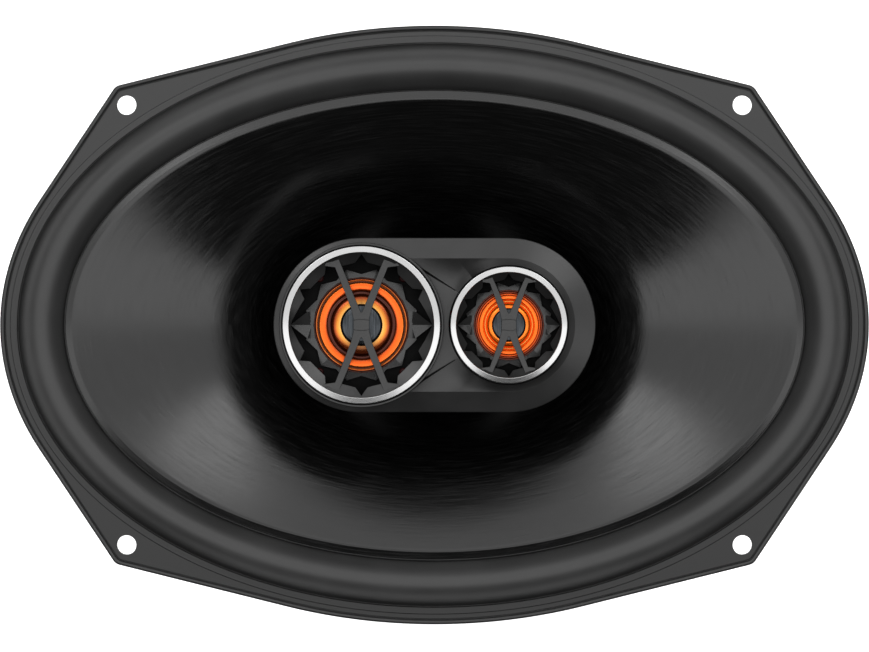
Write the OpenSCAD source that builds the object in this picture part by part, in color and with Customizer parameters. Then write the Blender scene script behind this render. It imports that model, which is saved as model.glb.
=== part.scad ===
// Oval three-way coaxial car speaker: pressed basket, trim ring, half-roll
// surround, oval cone, bridge pod with two small drivers, ferrite motor.
// Units: millimetres. z = 0 is the rear face of the mounting flange, +Z is the
// listening side, +X the long axis, +Y the short axis.

/* [Frame] */
// overall length of the frame
frame_length = 235; // [226:0.5:244]
// overall width of the frame
frame_width = 162; // [156:0.5:168]
// hole spacing along the long axis
hole_spacing_x = 166.6; // [163:0.1:170]
// hole spacing along the short axis
hole_spacing_y = 119; // [116:0.1:122]
// mounting hole diameter
hole_d = 5.3; // [4.5:0.1:6]
// pressed sheet thickness of the flange
flange_t = 1.2; // [1:0.1:1.6]
// height of the upturned rim above the flange's rear face
rim_h = 3; // [2.6:0.1:3.6]
// width of the upturned rim
rim_w = 1.3; // [1:0.1:1.6]
// thickness of the foam gasket behind the flange
gasket_t = 2; // [1.5:0.1:3]

/* [Trim ring and surround] */
// gap between the rim and the trim ring
groove_w = 0.8; // [0.5:0.1:1.2]
// how far the raised oval land's edge is set in from the frame's edge
land_inset = 2.7; // [2.4:0.1:3.2]
// how far the roll starts inside the frame's edge
roll_inset = 4.95; // [4.6:0.05:5.4]
// width of the half roll
roll_w = 12.3; // [11:0.1:13.5]
// height of the half roll
roll_h = 6.4; // [5:0.1:8]

/* [Cone] */
// cone depth from neck to rim
cone_depth = 37.4; // [35:0.2:40]
// how curved the cone's profile is
cone_curve = 0.9; // [0.5:0.1:1.3]
// paper thickness
cone_t = 0.5; // [0.4:0.05:0.8]
// travel of the cone each way
cone_travel = 5; // [2:0.5:6]

/* [Motor] */
// voice coil former's inner radius
former_r = 16; // [14.5:0.1:17]
// magnet radius
magnet_r = 46; // [42:0.5:46]
// magnet thickness
magnet_t = 16; // [14:0.5:16]
// thickness of the top plate and the back plate
plate_t = 6; // [5:0.5:6]
// z of the seat where the basket meets the top plate
seat_z = -52; // [-54:0.5:-50]
// radial clearance between the coil and the steel on each side
coil_gap = 0.45; // [0.35:0.05:0.6]

/* [Bridge pod] */
// distance from the pod's middle to each end's centre
pod_half = 20; // [19:0.1:21]
// radius of the pod's ends
pod_r = 23.6; // [23.4:0.1:24.4]
// width of the bevel round the pod
pod_bevel = 5.6; // [4.5:0.1:6]
// rise of the bevel
pod_rise = 4; // [3:0.1:4]
// depth of the pod's body behind the bevel
pod_depth = 8; // [7.5:0.1:8.5]
// x of the large driver
large_x = -19.75; // [-20.2:0.05:-19.5]
// x of the small driver
small_x = 20.1; // [19.5:0.1:20.5]
// inner radius of the large bezel
large_ri = 19.6; // [19.2:0.1:19.6]
// inner radius of the small bezel
small_ri = 14.25; // [13.8:0.05:14.6]
// width of the large bezel
large_w = 1.75; // [1.5:0.05:1.75]
// width of the small bezel
small_w = 1.6; // [1.4:0.05:1.8]
// radius of the supporting post
post_r = 6; // [5:0.5:7]

/* [Hidden] */
$fn = 96;
A = frame_length / 2;
B = frame_width / 2;
hx = hole_spacing_x / 2;
hy = hole_spacing_y / 2;
ear_r = 3;
ear_x = hx + 1.1;
ear_y = hy + 2.5;
trim_inset = rim_w + groove_w;
trim_top = flange_t + 1.2;
land_top = trim_top + 0.4;
sur_t = 0.5;
sur_z = flange_t;
wall_a = A - 8.3;
wall_b = B - 8.3;
roll_in = roll_inset + roll_w;
cone_inset = roll_in + 2.35;
cone_a = A - cone_inset;
cone_b = B - cone_inset - 0.2;
cone_z = 4;
neck_z = cone_z - cone_depth;
neck_r = former_r + 0.3 + 0.05;
former_t = 0.3;
wind_t = 0.6;
pole_r = former_r - coil_gap;
gap_r = former_r + former_t + wind_t + coil_gap;
plate_r = magnet_r - 3;
top_lo = seat_z - plate_t;
mag_lo = top_lo - magnet_t;
back_lo = mag_lo - plate_t;
boot_lo = back_lo - 4;
ledge_z = seat_z + 11;
lug_z = ledge_z + 5;
cap_z = ledge_z - 13;
ledge_ri = 46.2;
ledge_ro = 52.8;
cup_r = 47.4;
rivet_r = 36;
pod_base_t = 2;
base_top = -pod_depth;
base_lo = base_top - pod_base_t;
post_bore = 2.6;
post_stud = 4;

// Closed ring whose section is a loop of [half length, half width, z] rows,
// listed anticlockwise with the long axis to the right.
module oval_ring(sec, n = 96) {
    m = len(sec);
    pts = [for (i = [0:n - 1]) for (p = sec)
        [p[0] * cos(360 * i / n), p[1] * sin(360 * i / n), p[2]]];
    fcs = [for (i = [0:n - 1]) for (j = [0:m - 1])
        let (a = i * m + j, b = i * m + (j + 1) % m, k = ((i + 1) % n) * m,
             c = k + (j + 1) % m, d = k + j) each [[a, b, c], [a, c, d]]];
    polyhedron(pts, fcs, convexity = 8);
}

// Ring with its own section loop at each angle: rows of [angle, [[r, z], ...]].
module varied_ring(rows) {
    n = len(rows);
    m = len(rows[0][1]);
    pts = [for (row = rows) for (p = row[1])
        [p[0] * cos(row[0]), p[0] * sin(row[0]), p[1]]];
    fcs = [for (i = [0:n - 1]) for (j = [0:m - 1])
        let (a = i * m + j, b = i * m + (j + 1) % m, k = ((i + 1) % n) * m,
             c = k + (j + 1) % m, d = k + j) each [[a, b, c], [a, c, d]]];
    polyhedron(pts, fcs, convexity = 8);
}

function unit(v) = v / norm(v);

// Round tube of radius r along a list of points.
module wire(path, r, k = 8) {
    n = len(path);
    tan = [for (i = [0:n - 1]) unit(path[min(i + 1, n - 1)] - path[max(i - 1, 0)])];
    pts = [for (i = [0:n - 1])
        let (t = tan[i], u = unit(cross([0.31, 1, 0.17], t)), v = cross(t, u))
        for (q = [0:k - 1]) path[i] + r * cos(360 * q / k) * u + r * sin(360 * q / k) * v];
    side = [for (i = [0:n - 2]) for (q = [0:k - 1])
        let (a = i * k + q, b = i * k + (q + 1) % k, c = (i + 1) * k + (q + 1) % k,
             d = (i + 1) * k + q) each [[a, c, b], [a, d, c]]];
    ends = [[for (q = [0:k - 1]) q], [for (q = [k - 1:-1:0]) (n - 1) * k + q]];
    polyhedron(pts, concat(side, ends), convexity = 6);
}

// Smooth path through control points (uniform Catmull-Rom).
function curve(p, s = 5) = [for (i = [0:len(p) - 2]) for (q = [0:s - 1])
    let (t = q / s, a = p[max(i - 1, 0)], b = p[i], c = p[i + 1], d = p[min(i + 2, len(p) - 1)])
    0.5 * (2 * b + (c - a) * t + (2 * a - 5 * b + 4 * c - d) * t * t
        + (3 * b - a - 3 * c + d) * t * t * t), p[len(p) - 1]];

// Outline of the frame: in each direction, whichever of the oval and the four
// ears reaches furthest, so straight edges join them.
function edge_pt(t, a, b, r) = let (c = cos(t), s = sin(t), n = sqrt(a * a * c * c + b * b * s * s),
    ear = [sign(c) * ear_x + r * c, sign(s) * ear_y + r * s])
    n >= ear[0] * c + ear[1] * s ? [a * a * c / n, b * b * s / n] : ear;

module outline(inset) {
    polygon([for (k = [0:179]) edge_pt(2 * k + 1, A - inset, B - inset, ear_r - inset)]);
}

module slab(inset, lo, hi) {
    translate([0, 0, lo]) linear_extrude(hi - lo) outline(inset);
}

module oval(a, b, lo, hi) {
    translate([0, 0, lo]) linear_extrude(hi - lo)
        polygon([for (k = [0:143]) [a * cos(2.5 * k), b * sin(2.5 * k)]]);
}

module ear_holes(lo, hi) {
    for (i = [-1, 1], j = [-1, 1])
        translate([i * hx, j * hy, lo]) cylinder(d = hole_d, h = hi - lo, $fn = 48);
}

module tube(ri, ro, lo, hi) {
    translate([0, 0, lo]) difference() {
        cylinder(r = ro, h = hi - lo);
        translate([0, 0, -1]) cylinder(r = ri, h = hi - lo + 2);
    }
}

// ---------------------------------------------------------------- basket
// rows of [z, share of the way out from the foot to the top wall along the long
// axis, and along the short axis] down the pressed bowl
foot_r = 52;
bowl_rows = [[0.6, 1, 1], [-6, 0.99, 0.971], [-10, 0.953, 0.884], [-13, 0.883, 0.763],
    [-18, 0.699, 0.589], [-23, 0.516, 0.435], [-28, 0.341, 0.3], [ledge_z + 8, 0.184, 0.174],
    [ledge_z + 4, 0.07, 0.077], [ledge_z - 0.7, 0, 0]];
bowl = [for (p = bowl_rows) [p[0], foot_r + (wall_a - foot_r) * p[1],
    foot_r + (wall_b - foot_r) * p[2]]];
bowl_n = 120;
bowl_m = len(bowl) - 1;
// window k spans columns [first, last) of the grid
windows = [[3, 17], [23, 37], [43, 57], [63, 77], [83, 97], [103, 117]];

function is_open(i, j) = j >= 3 && j < 8
    && len([for (w = windows) if (i >= w[0] && i < w[1]) 1]) > 0;
function in_grid(j) = j >= 0 && j < bowl_m;
function is_solid(i, j) = in_grid(j) && !is_open((i + bowl_n) % bowl_n, j);

module bowl_wall() {
    t = 0.9;
    n = bowl_n;
    m = bowl_m + 1;
    out = [for (i = [0:n - 1]) for (j = [0:m - 1])
        [bowl[j][1] * cos(360 * i / n), bowl[j][2] * sin(360 * i / n), bowl[j][0]]];
    inn = [for (i = [0:n - 1]) for (j = [0:m - 1])
        [(bowl[j][1] - t) * cos(360 * i / n), (bowl[j][2] - t) * sin(360 * i / n),
            bowl[j][0] + ((j == 0) ? 0 : (j == m - 1) ? 0.3 : t)]];
    q = n * m;
    fcs = [for (i = [0:n - 1]) for (j = [0:bowl_m - 1]) if (is_solid(i, j))
        let (a = i * m + j, b = ((i + 1) % n) * m + j, c = b + 1, d = a + 1)
        each concat(
            [[a, b, c], [a, c, d], [q + a, q + c, q + b], [q + a, q + d, q + c]],
            is_solid(i, j - 1) ? [] : [[a, q + a, q + b], [a, q + b, b]],
            is_solid(i, j + 1) ? [] : [[d, c, q + c], [d, q + c, q + d]],
            is_solid(i - 1, j) ? [] : [[q + a, a, d], [q + a, d, q + d]],
            is_solid(i + 1, j) ? [] : [[q + b, q + c, c], [q + b, c, b]])];
    polyhedron(concat(out, inn), fcs, convexity = 10);
}

module basket() {
    color([0.2, 0.2, 0.21]) difference() {
        union() {
            difference() {
                slab(0, 0, rim_h);
                slab(rim_w, flange_t, rim_h + 1);
                oval(wall_a - 1.4, wall_b - 1.4, -1, rim_h + 1);
                ear_holes(-1, rim_h + 1);
            }
            bowl_wall();
            tube(ledge_ri, ledge_ro, ledge_z - 1.4, ledge_z);
            tube(ledge_ri, cup_r, seat_z + 0.6, ledge_z - 0.7);
            tube(30, cup_r, seat_z, seat_z + 1.2);
            translate([-15, -54, ledge_z - 1.4]) cube([30, 6, 1.4]);
            translate([-15, -54, ledge_z - 13]) cube([30, 1.2, 12.3]);
        }
        for (k = [0:7]) rotate([0, 0, 45 * k + 22.5])
            translate([cup_r - 3, -6.5, seat_z + 3]) cube([6, 13, 5]);
        for (k = [0:3]) rotate([0, 0, 90 * k + 45])
            translate([rivet_r, 0, seat_z - 1]) cylinder(r = 2.05, h = 4, $fn = 48);
        for (i = [-1, 1]) translate([i * 11, -52, ledge_z - 8]) rotate([90, 0, 0])
            cylinder(r = 1.55, h = 4, $fn = 48);
    }
}

module mounting_gasket() {
    color([0.12, 0.12, 0.12]) difference() {
        slab(1.6, -gasket_t, 0);
        oval(wall_a + 1.2, wall_b + 1.2, -gasket_t - 1, 1);
        ear_holes(-gasket_t - 1, 1);
    }
}

module trim_ring() {
    color([0.27, 0.27, 0.28]) difference() {
        union() {
            slab(trim_inset, flange_t, trim_top);
            oval(A - land_inset, B - land_inset, flange_t + 0.2, land_top);
        }
        oval(A - roll_inset + 0.2, B - roll_inset + 0.2, 0, land_top + 1);
        oval(A - roll_inset + 1.6, B - roll_inset + 1.6, 0, flange_t + 0.6);
        ear_holes(0, land_top + 1);
    }
}

module surround() {
    mid = roll_inset + roll_w / 2;
    hw = roll_w / 2;
    under = [for (q = [0:10]) let (t = 180 - 18 * q)
        [mid - (hw - 0.6) * cos(t), sur_z + 0.1 + (roll_h - 0.1) * sin(t)]];
    over = [for (q = [0:12]) let (t = 15 * q)
        [mid - hw * cos(t), sur_z + sur_t - 0.1 + (roll_h + 0.2) * sin(t)]];
    sec = concat([[roll_in + 1.6, sur_z]], under, [[roll_inset - 1.4, sur_z],
        [roll_inset - 1.4, sur_z + sur_t]], over, [[roll_in + 1.6, sur_z + sur_t]]);
    color([0.2, 0.2, 0.2]) oval_ring([for (p = sec) [A - p[0], B - p[0], p[1]]], 96);
}

// ---------------------------------------------------------------- moving cone
function cone_f(t) = (1 - exp(-cone_curve * t)) / (1 - exp(-cone_curve));
function cone_pt(t) = [neck_r + 0.4 + (cone_a - neck_r - 0.4) * t,
    neck_r + 0.4 + (cone_b - neck_r - 0.4) * t, neck_z + cone_depth * cone_f(t)];

module cone() {
    lv = [0, 0.08, 0.18, 0.3, 0.45, 0.62, 0.8, 1];
    back = [for (t = lv) cone_pt(t) + [0.6, 0.6, -1] * cone_t];
    front = [for (k = [7:-1:0]) cone_pt(lv[k])];
    out_a = cone_a + 1.9;
    out_b = cone_b + 2.2;
    sec = concat([[neck_r, neck_r, neck_z - 3], [neck_r + 0.5, neck_r + 0.5, neck_z - 3]],
        back, [[out_a, out_b, cone_z - 1.9], [out_a, out_b, cone_z - 1.4]], front,
        [[neck_r, neck_r, neck_z]]);
    color([0.16, 0.16, 0.17]) oval_ring(sec, 96);
}

module coil_former() {
    color([0.75, 0.6, 0.35]) tube(former_r, former_r + former_t, seat_z - 10, neck_z - 1);
}

module voice_coil() {
    color([0.72, 0.4, 0.2]) tube(former_r + former_t, former_r + former_t + wind_t,
        seat_z - plate_t / 2 - 6, seat_z - plate_t / 2 + 6);
}

module lead_pads() {
    color([0.8, 0.6, 0.3]) for (i = [-1, 1]) rotate([0, 0, -90 + 28 * i - 8])
        translate([0, 0, neck_z - 6]) rotate_extrude(angle = 16)
            translate([former_r + former_t, 0]) square([0.5, 2.4]);
}

module spider() {
    r0 = former_r + former_t + 0.3;
    r1 = 50.6;
    lo = ledge_z;
    n = 66;
    // flat inner collar, five corrugations, flat outer glue ring
    wave = [for (k = [0:n]) let (f = k / n, r = r0 + (r1 - r0) * f,
        g = (r - r0 - 2.6) / (45.6 - r0 - 2.6))
        [r, lo + ((g > 0 && g < 1) ? 0.9 * (1 - cos(1800 * g)) : 0)]];
    low = [for (k = [0:n]) wave[k]];
    up = [for (k = [n:-1:0]) wave[k] + [0, 0.45]];
    color([0.8, 0.62, 0.3]) rotate_extrude() polygon(concat(low, up));
}

module tinsel_leads() {
    e = former_r + former_t + 0.8;
    color([0.82, 0.8, 0.76]) for (i = [-1, 1]) wire(curve([
        [i * 11, -52.6, lug_z + 0.4], [i * 11, -50, lug_z + 0.9], [i * 10.8, -44, lug_z + 2.2],
        [i * 10.4, -36, lug_z + 2], [i * 9.8, -27, lug_z - 0.4], [i * 8.9, -20.5, neck_z - 4.2],
        [e * sin(28) * i, -e * cos(28), neck_z - 4.6]], 4), 0.55, 8);
}

// ---------------------------------------------------------------- motor
module basket_rivets() {
    color([0.7, 0.7, 0.72]) for (k = [0:3]) rotate([0, 0, 90 * k + 45])
        translate([rivet_r, 0, 0]) {
            translate([0, 0, top_lo + 0.5]) cylinder(r = 2, h = plate_t + 0.9, $fn = 48);
            translate([0, 0, seat_z + 1.2]) cylinder(r1 = 3.6, r2 = 2.6, h = 1.2, $fn = 48);
        }
}

module top_plate() {
    color([0.55, 0.56, 0.58]) difference() {
        tube(gap_r, plate_r, top_lo, seat_z);
        for (k = [0:3]) rotate([0, 0, 90 * k + 45])
            translate([rivet_r, 0, top_lo + 0.4]) cylinder(r = 2.05, h = plate_t, $fn = 48);
    }
}

module ferrite_magnet() {
    color([0.13, 0.13, 0.14]) tube(22, magnet_r, mag_lo, top_lo);
}

module yoke() {
    color([0.55, 0.56, 0.58]) difference() {
        union() {
            translate([0, 0, back_lo]) cylinder(r = plate_r, h = plate_t);
            translate([0, 0, back_lo + 1]) cylinder(r = pole_r, h = seat_z - back_lo - 1);
        }
        translate([0, 0, back_lo - 1]) cylinder(r = post_stud + 0.1, h = 80);
        translate([0, 0, back_lo - 1]) cylinder(r = 9, h = 4.5);
    }
}

module magnet_boot() {
    color([0.09, 0.09, 0.1]) difference() {
        union() {
            translate([0, 0, back_lo - 2.5]) cylinder(r = magnet_r + 2.3, h = top_lo - back_lo + 3.5);
            tube(magnet_r - 10, magnet_r - 1, boot_lo, back_lo - 2);
            translate([-3.6, -magnet_r - 4.4, boot_lo + 1.5])
                cube([7.2, 8, top_lo - boot_lo - 0.5]);
        }
        translate([0, 0, back_lo]) cylinder(r = magnet_r + 0.3, h = 60);
        translate([0, 0, back_lo - 6]) cylinder(r = 13, h = 10);
        translate([-2, -magnet_r - 3, back_lo - 1.7]) cube([4, magnet_r + 3, 3]);
        translate([-2, -magnet_r - 3, back_lo - 1.7]) cube([4, 5, 60]);
        translate([-2, -magnet_r - 5, top_lo - 4.6]) cube([4, 4, 20]);
    }
}

module pod_post() {
    top = seat_z;
    color([0.12, 0.12, 0.13]) rotate_extrude() polygon([[post_bore, back_lo + 0.6],
        [post_stud, back_lo + 0.6], [post_stud, top], [11.5, top], [11.5, top + 2.2],
        [post_r + 3, top + 3.4], [post_r + 1.2, top + 7], [post_r, top + 14],
        [post_r, base_lo - 5], [post_r + 2, base_lo - 2.4], [12, base_lo - 1.6],
        [12, base_lo], [post_bore, base_lo]]);
}

module post_washer() {
    color([0.72, 0.72, 0.74]) tube(post_stud + 0.15, 8.2, back_lo + 2.7, back_lo + 3.5);
}

module post_nut() {
    color([0.72, 0.72, 0.74]) translate([0, 0, back_lo + 0.2]) difference() {
        cylinder(r = 7.5, h = 2.5, $fn = 6);
        translate([0, 0, -1]) cylinder(r = post_stud + 0.02, h = 5);
    }
}

// ---------------------------------------------------------------- terminals
module terminal_block() {
    color([0.16, 0.13, 0.1]) difference() {
        union() {
            translate([-17, -56, ledge_z - 15]) cube([34, 2, 20]);
            translate([-41, -56, cap_z - 5]) cube([82, 2, 10]);
            translate([-1, -60, ledge_z - 12]) cube([2, 4.5, 14]);
        }
        for (i = [-1, 1]) translate([i * 11, -53, ledge_z - 8]) rotate([90, 0, 0])
            cylinder(r = 1.55, h = 4, $fn = 48);
    }
}

module blade(x, w) {
    difference() {
        union() {
            translate([x - 3.4, -56.8, ledge_z - 11]) cube([6.8, 0.8, 16.2]);
            translate([x - 1.6, -56.8, lug_z]) cube([3.2, 4.2, 0.8]);
            translate([x - w / 2, -68, ledge_z - 3]) cube([w, 11.6, 0.8]);
        }
        translate([x, -64.6, ledge_z - 4]) cylinder(r = 0.9, h = 3, $fn = 32);
        translate([x, -55, ledge_z - 8]) rotate([90, 0, 0]) cylinder(r = 1.55, h = 3, $fn = 48);
    }
}

module positive_tab() {
    color([0.8, 0.68, 0.4]) blade(11, 6.3);
}

module negative_tab() {
    color([0.8, 0.8, 0.8]) blade(-11, 4.8);
}

module terminal_rivets() {
    color([0.75, 0.73, 0.68]) for (i = [-1, 1]) translate([i * 11, 0, ledge_z - 8])
        rotate([90, 0, 0]) {
            translate([0, 0, 51.6]) cylinder(r = 2.6, h = 1.2, $fn = 48);
            translate([0, 0, 52.6]) cylinder(r = 1.5, h = 4.4, $fn = 48);
            translate([0, 0, 56.8]) cylinder(r1 = 2.6, r2 = 2, h = 0.9, $fn = 48);
        }
}

module cap_can(x, r, len) {
    translate([x, -56 - r, cap_z]) rotate([0, 90, 0]) {
        cylinder(r = r, h = len);
        translate([0, 0, -0.5]) cylinder(r = r - 1, h = len + 1);
    }
}

module tweeter_capacitor() {
    color([0.1, 0.1, 0.12]) cap_can(20, 5, 20);
}

module supertweeter_capacitor() {
    color([0.1, 0.1, 0.12]) cap_can(-38, 4.2, 18);
}

module capacitor_leads() {
    color([0.78, 0.78, 0.76]) {
        wire(curve([[19.5, -61, cap_z], [17.4, -60.6, cap_z + 0.3], [15, -58.4, cap_z + 1.4],
            [13.9, -57.1, cap_z + 3]], 4), 0.4, 6);
        wire(curve([[-19.5, -60.2, cap_z], [-17.4, -60, cap_z + 0.3], [-15, -58.2, cap_z + 1.4],
            [-13.9, -57.1, cap_z + 3]], 4), 0.4, 6);
        wire(curve([[40.5, -61, cap_z], [42.8, -61, cap_z + 0.6], [43.4, -60.8, cap_z + 4],
            [40, -60, cap_z + 7.4], [32, -59.4, cap_z + 8.2], [23, -58.8, cap_z + 7.4],
            [16, -57.6, cap_z + 7.2], [13.8, -57.1, cap_z + 7.2]], 4), 0.4, 6);
    }
}

module tweeter_wires() {
    y = -magnet_r - 1.4;
    lo = back_lo - 0.85;
    color([0.6, 0.12, 0.1]) {
        for (i = [-1, 1]) wire(curve([
            [(i < 0) ? large_x + 13.9 : small_x - 10.5, 0, base_top + 1.6],
            [i * 2.4, 0, base_top + 0.4], [i * 1, 0, base_lo - 2], [i * 0.85, 0, base_lo - 10],
            [i * 0.85, 0, -50], [i * 0.85, 0, back_lo + 5], [i * 0.85, -0.2, back_lo + 1],
            [i * 0.85, -2.4, lo], [i * 0.85, -9, lo], [i * 0.85, y + 5, lo],
            [i * 0.85, y + 1.2, lo + 0.2], [i * 0.85, y, lo + 2.4], [i * 0.85, y, mag_lo],
            [i * 0.85, y, top_lo - 6], [i * 0.9, y - 1, top_lo - 3.6], [i * 1.2, y - 4.4, top_lo - 3],
            [i * 3, -56.5, top_lo - 3], [i * 6.4, -58.8, top_lo], [i * 8.6, -58, top_lo + 4.4],
            [i * 8.8, -57, top_lo + 7]], 3), 0.6, 8);
        wire(curve([[large_x + 13.9, 3, base_top + 4], [-1, 3.6, base_top + 3.2],
            [small_x - 10.1, 3, base_top + 4]], 4), 0.6, 8);
    }
}

// ---------------------------------------------------------------- pod
module stadium(r, lo, hi, r2 = -1) {
    hull() for (i = [-1, 1]) translate([i * pod_half, 0, lo])
        cylinder(r1 = r, r2 = (r2 < 0) ? r : r2, h = hi - lo, $fn = 64);
}

// the four screws that hold the pod's back
boss_y = pod_r - 4.8;
pod_screw_at = [[-3, boss_y], [-3, -boss_y], [16, boss_y], [16, -boss_y]];

module pod_base() {
    color([0.1, 0.1, 0.11]) difference() {
        stadium(pod_r - 0.6, base_lo, base_top);
        translate([0, 0, base_lo - 1]) cylinder(r = post_bore, h = 4);
        for (p = pod_screw_at) translate([p[0], p[1], base_lo - 1])
            cylinder(r = 1.25, h = 4, $fn = 32);
    }
}

module pod_screws() {
    color([0.3, 0.3, 0.32]) for (p = pod_screw_at) translate([p[0], p[1], 0]) {
        translate([0, 0, base_lo - 1.1]) cylinder(r1 = 1.7, r2 = 2.1, h = 1.1, $fn = 32);
        translate([0, 0, base_lo - 0.2]) cylinder(r = 1.2, h = 6, $fn = 32);
    }
}

module pod_housing() {
    lr = large_ri + large_w;
    sr = small_ri + small_w;
    color([0.25, 0.25, 0.26]) difference() {
        union() {
            stadium(pod_r, base_top, 0.01);
            stadium(pod_r, 0, pod_rise, pod_r - pod_bevel);
            translate([large_x, 0, -1]) cylinder(r = lr + 0.9, h = pod_rise + 1.3);
        }
        difference() {
            stadium(pod_r - 3.4, base_top - 1, pod_rise - 2.6);
            for (p = pod_screw_at) translate([p[0], p[1], base_top - 2]) cylinder(r = 2.5, h = 14);
            // skirt that locates each chrome ring
            for (b = [[large_x, lr], [small_x, sr]]) translate([b[0], 0, -1])
                cylinder(r = b[1] + 0.9, h = pod_rise);
        }
        for (p = pod_screw_at) translate([p[0], p[1], base_top - 1])
            cylinder(r = 1.25, h = 7, $fn = 32);
        for (g = [[0, -10], [0.3, 1]]) {
            translate([large_x, 0, g[1]]) cylinder(r = lr + g[0], h = 20);
            translate([small_x, 0, g[1]]) cylinder(r = sr + g[0], h = 20);
        }
        translate([small_x, 0, pod_rise - 1.1]) cylinder(r1 = sr + 0.1, r2 = sr + 2.6, h = 1.2);
    }
}

// A driver is described by [x, bezel inner radius, bezel width, rim radius,
// plug radius, hub half width, hub notch height, arm width scale].
function large_d() = [large_x, large_ri, large_w, 12.5, 5.7, 2.15, 3.1];
function small_d() = [small_x, small_ri, small_w, 9.1, 4.6, 2, 2.85];
// radius of the coil that carries the dome
function coil_r(d) = d[4] + 0.74 * (d[3] - 1.05 - d[4]);

module bezel(d, lo, hi) {
    r0 = d[1];
    w = d[2];
    arc = [for (k = [0:8]) [r0 + w / 2 + w / 2 * cos(22.5 * k), hi - w / 2 + w / 2 * sin(22.5 * k)]];
    color([0.85, 0.86, 0.88]) translate([d[0], 0, 0]) rotate_extrude()
        polygon(concat([[r0, lo], [r0 + w, lo]], arc));
}

// inner edge radius of the pointed outer ring, as parts of its outer radius
function star_r(k, q) = let (side = (k == 0 || k == 6), prev = (k == 5 || k == 11))
    q == 0 ? 0.98 : q == 1 ? (side ? 0.945 : 0.865)
    : q == 2 ? (side || prev ? 0.895 : 0.855) : (prev ? 0.945 : 0.865);

module grille(d, lo, top) {
    r0 = d[1] - 0.01;
    s = r0 / 19.6;
    ang = [0, 5.6, 15, 24.4];
    rows = [for (k = [0:11]) for (q = [0:3]) [30 * k + ang[q],
        let (ri = r0 * star_r(k, q)) [[ri, lo], [r0, lo], [r0, top],
            [ri, top - 0.3 - 9.5 * (1 - ri / r0)]]]];
    hw = d[5];
    ap = d[6];
    foot = [for (k = [0:6]) let (t = 71 - 2.6 * k) (r0 - 0.1) * [cos(t), sin(t)]];
    arm = concat([[0, ap]], foot, [[7.5 * s, 15.4 * s], [hw + 1.05, ap + 1.65], [hw, ap - 1.35]]);
    half = concat(arm, [for (k = [len(arm) - 1:-1:1]) [arm[k][0], -arm[k][1]]]);
    left = [for (k = [len(half) - 1:-1:1]) [-half[k][0], half[k][1]]];
    full = concat([for (k = [0:len(half) - 1]) half[k]], [[0, -ap]], left);
    color([0.27, 0.27, 0.28]) translate([d[0], 0, 0]) {
        varied_ring(rows);
        translate([0, 0, top - 2.2]) linear_extrude(1.8) polygon(full);
    }
}

module star_plate(d, lo) {
    r0 = d[3] + 0.4;
    r1 = d[1];
    s = r1 / 19.6;
    big = d[3] > 11;
    tip = big ? 15.5 : 11.9;
    val = big ? 13.75 : 10.3;
    rows = [for (k = [0:23]) let (ro = (k % 2 == 1) ? tip : val)
        [15 * k, [[r0 + 0.15, lo + 0.5], [ro, lo + 0.5], [ro, lo + 1.3],
            [r0 + 0.15, lo + 2.2]]]];
    color([0.2, 0.2, 0.21]) translate([d[0], 0, 0]) {
        tube(r0, r1, lo, lo + 1);
        varied_ring(rows);
        for (g = [0, 180]) rotate([0, 0, g]) polyhedron(
            [[r1 - 0.4, 0, lo + 0.5], [14.7 * s, 3.5 * s, lo + 0.5], [13.9 * s, 0, lo + 0.5],
                [14.7 * s, -3.5 * s, lo + 0.5], [r1 - 0.4, 0, lo + 2],
                [14.7 * s, 3.5 * s, lo + 3], [13.9 * s, 0, lo + 1.7],
                [14.7 * s, -3.5 * s, lo + 3]],
            [[0, 1, 2], [0, 2, 3], [4, 6, 5], [4, 7, 6], [0, 4, 5], [0, 5, 1],
                [1, 5, 6], [1, 6, 2], [2, 6, 7], [2, 7, 3], [3, 7, 4], [3, 4, 0]]);
    }
}

module phase_plug(d, lo, hi) {
    r = d[4];
    h = hi - lo;
    color([0.4, 0.42, 0.45]) translate([d[0], 0, lo]) rotate_extrude()
        polygon([[0, 0], [r - 0.4, 0], [r, 0.25 * h], [r, 0.45 * h], [r - 0.5, 0.8 * h],
            [r - 1.5, h], [0, h]]);
}

// profile rows of [r / rim radius, z] for the moulded dome
function dome(d) = let (r = d[3] - 1.05, q = d[4] / r)
    [[0, 1.75], [q * 0.5, 1.8], [q, 1.6], [q + (1 - q) * 0.3, 1.15], [q + (1 - q) * 0.5, 0.35],
        [q + (1 - q) * 0.62, 0.35], [q + (1 - q) * 0.7, 0.8], [q + (1 - q) * 0.85, 0.95],
        [q + (1 - q) * 0.97, 0.55], [1, 0.2]];

module diaphragm(d) {
    r = d[3] - 1.05;
    p = dome(d);
    n = len(p) - 1;
    color([0.95, 0.55, 0.2]) translate([d[0], 0, 0]) rotate_extrude() polygon(concat(
        [for (k = [0:n]) [p[k][0] * r, p[k][1] - 0.15]],
        [for (k = [n:-1:0]) [p[k][0] * r, p[k][1]]]));
}

module dome_surround(d) {
    r = d[3];
    color([0.85, 0.45, 0.15]) translate([d[0], 0, 0]) rotate_extrude() polygon([
        [r - 0.72, -0.15], [r - 0.45, -0.3], [r + 1.2, -0.3], [r + 1.2, 0], [r - 0.1, 0],
        [r - 0.25, 0.12], [r - 0.45, 0.05], [r - 0.6, 0.1], [r - 0.72, 0.02]]);
}

module dome_coil(d) {
    rc = coil_r(d);
    color([0.72, 0.4, 0.2]) translate([d[0], 0, 0]) tube(rc, rc + 0.35, -4.4, 0.69);
}

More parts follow.
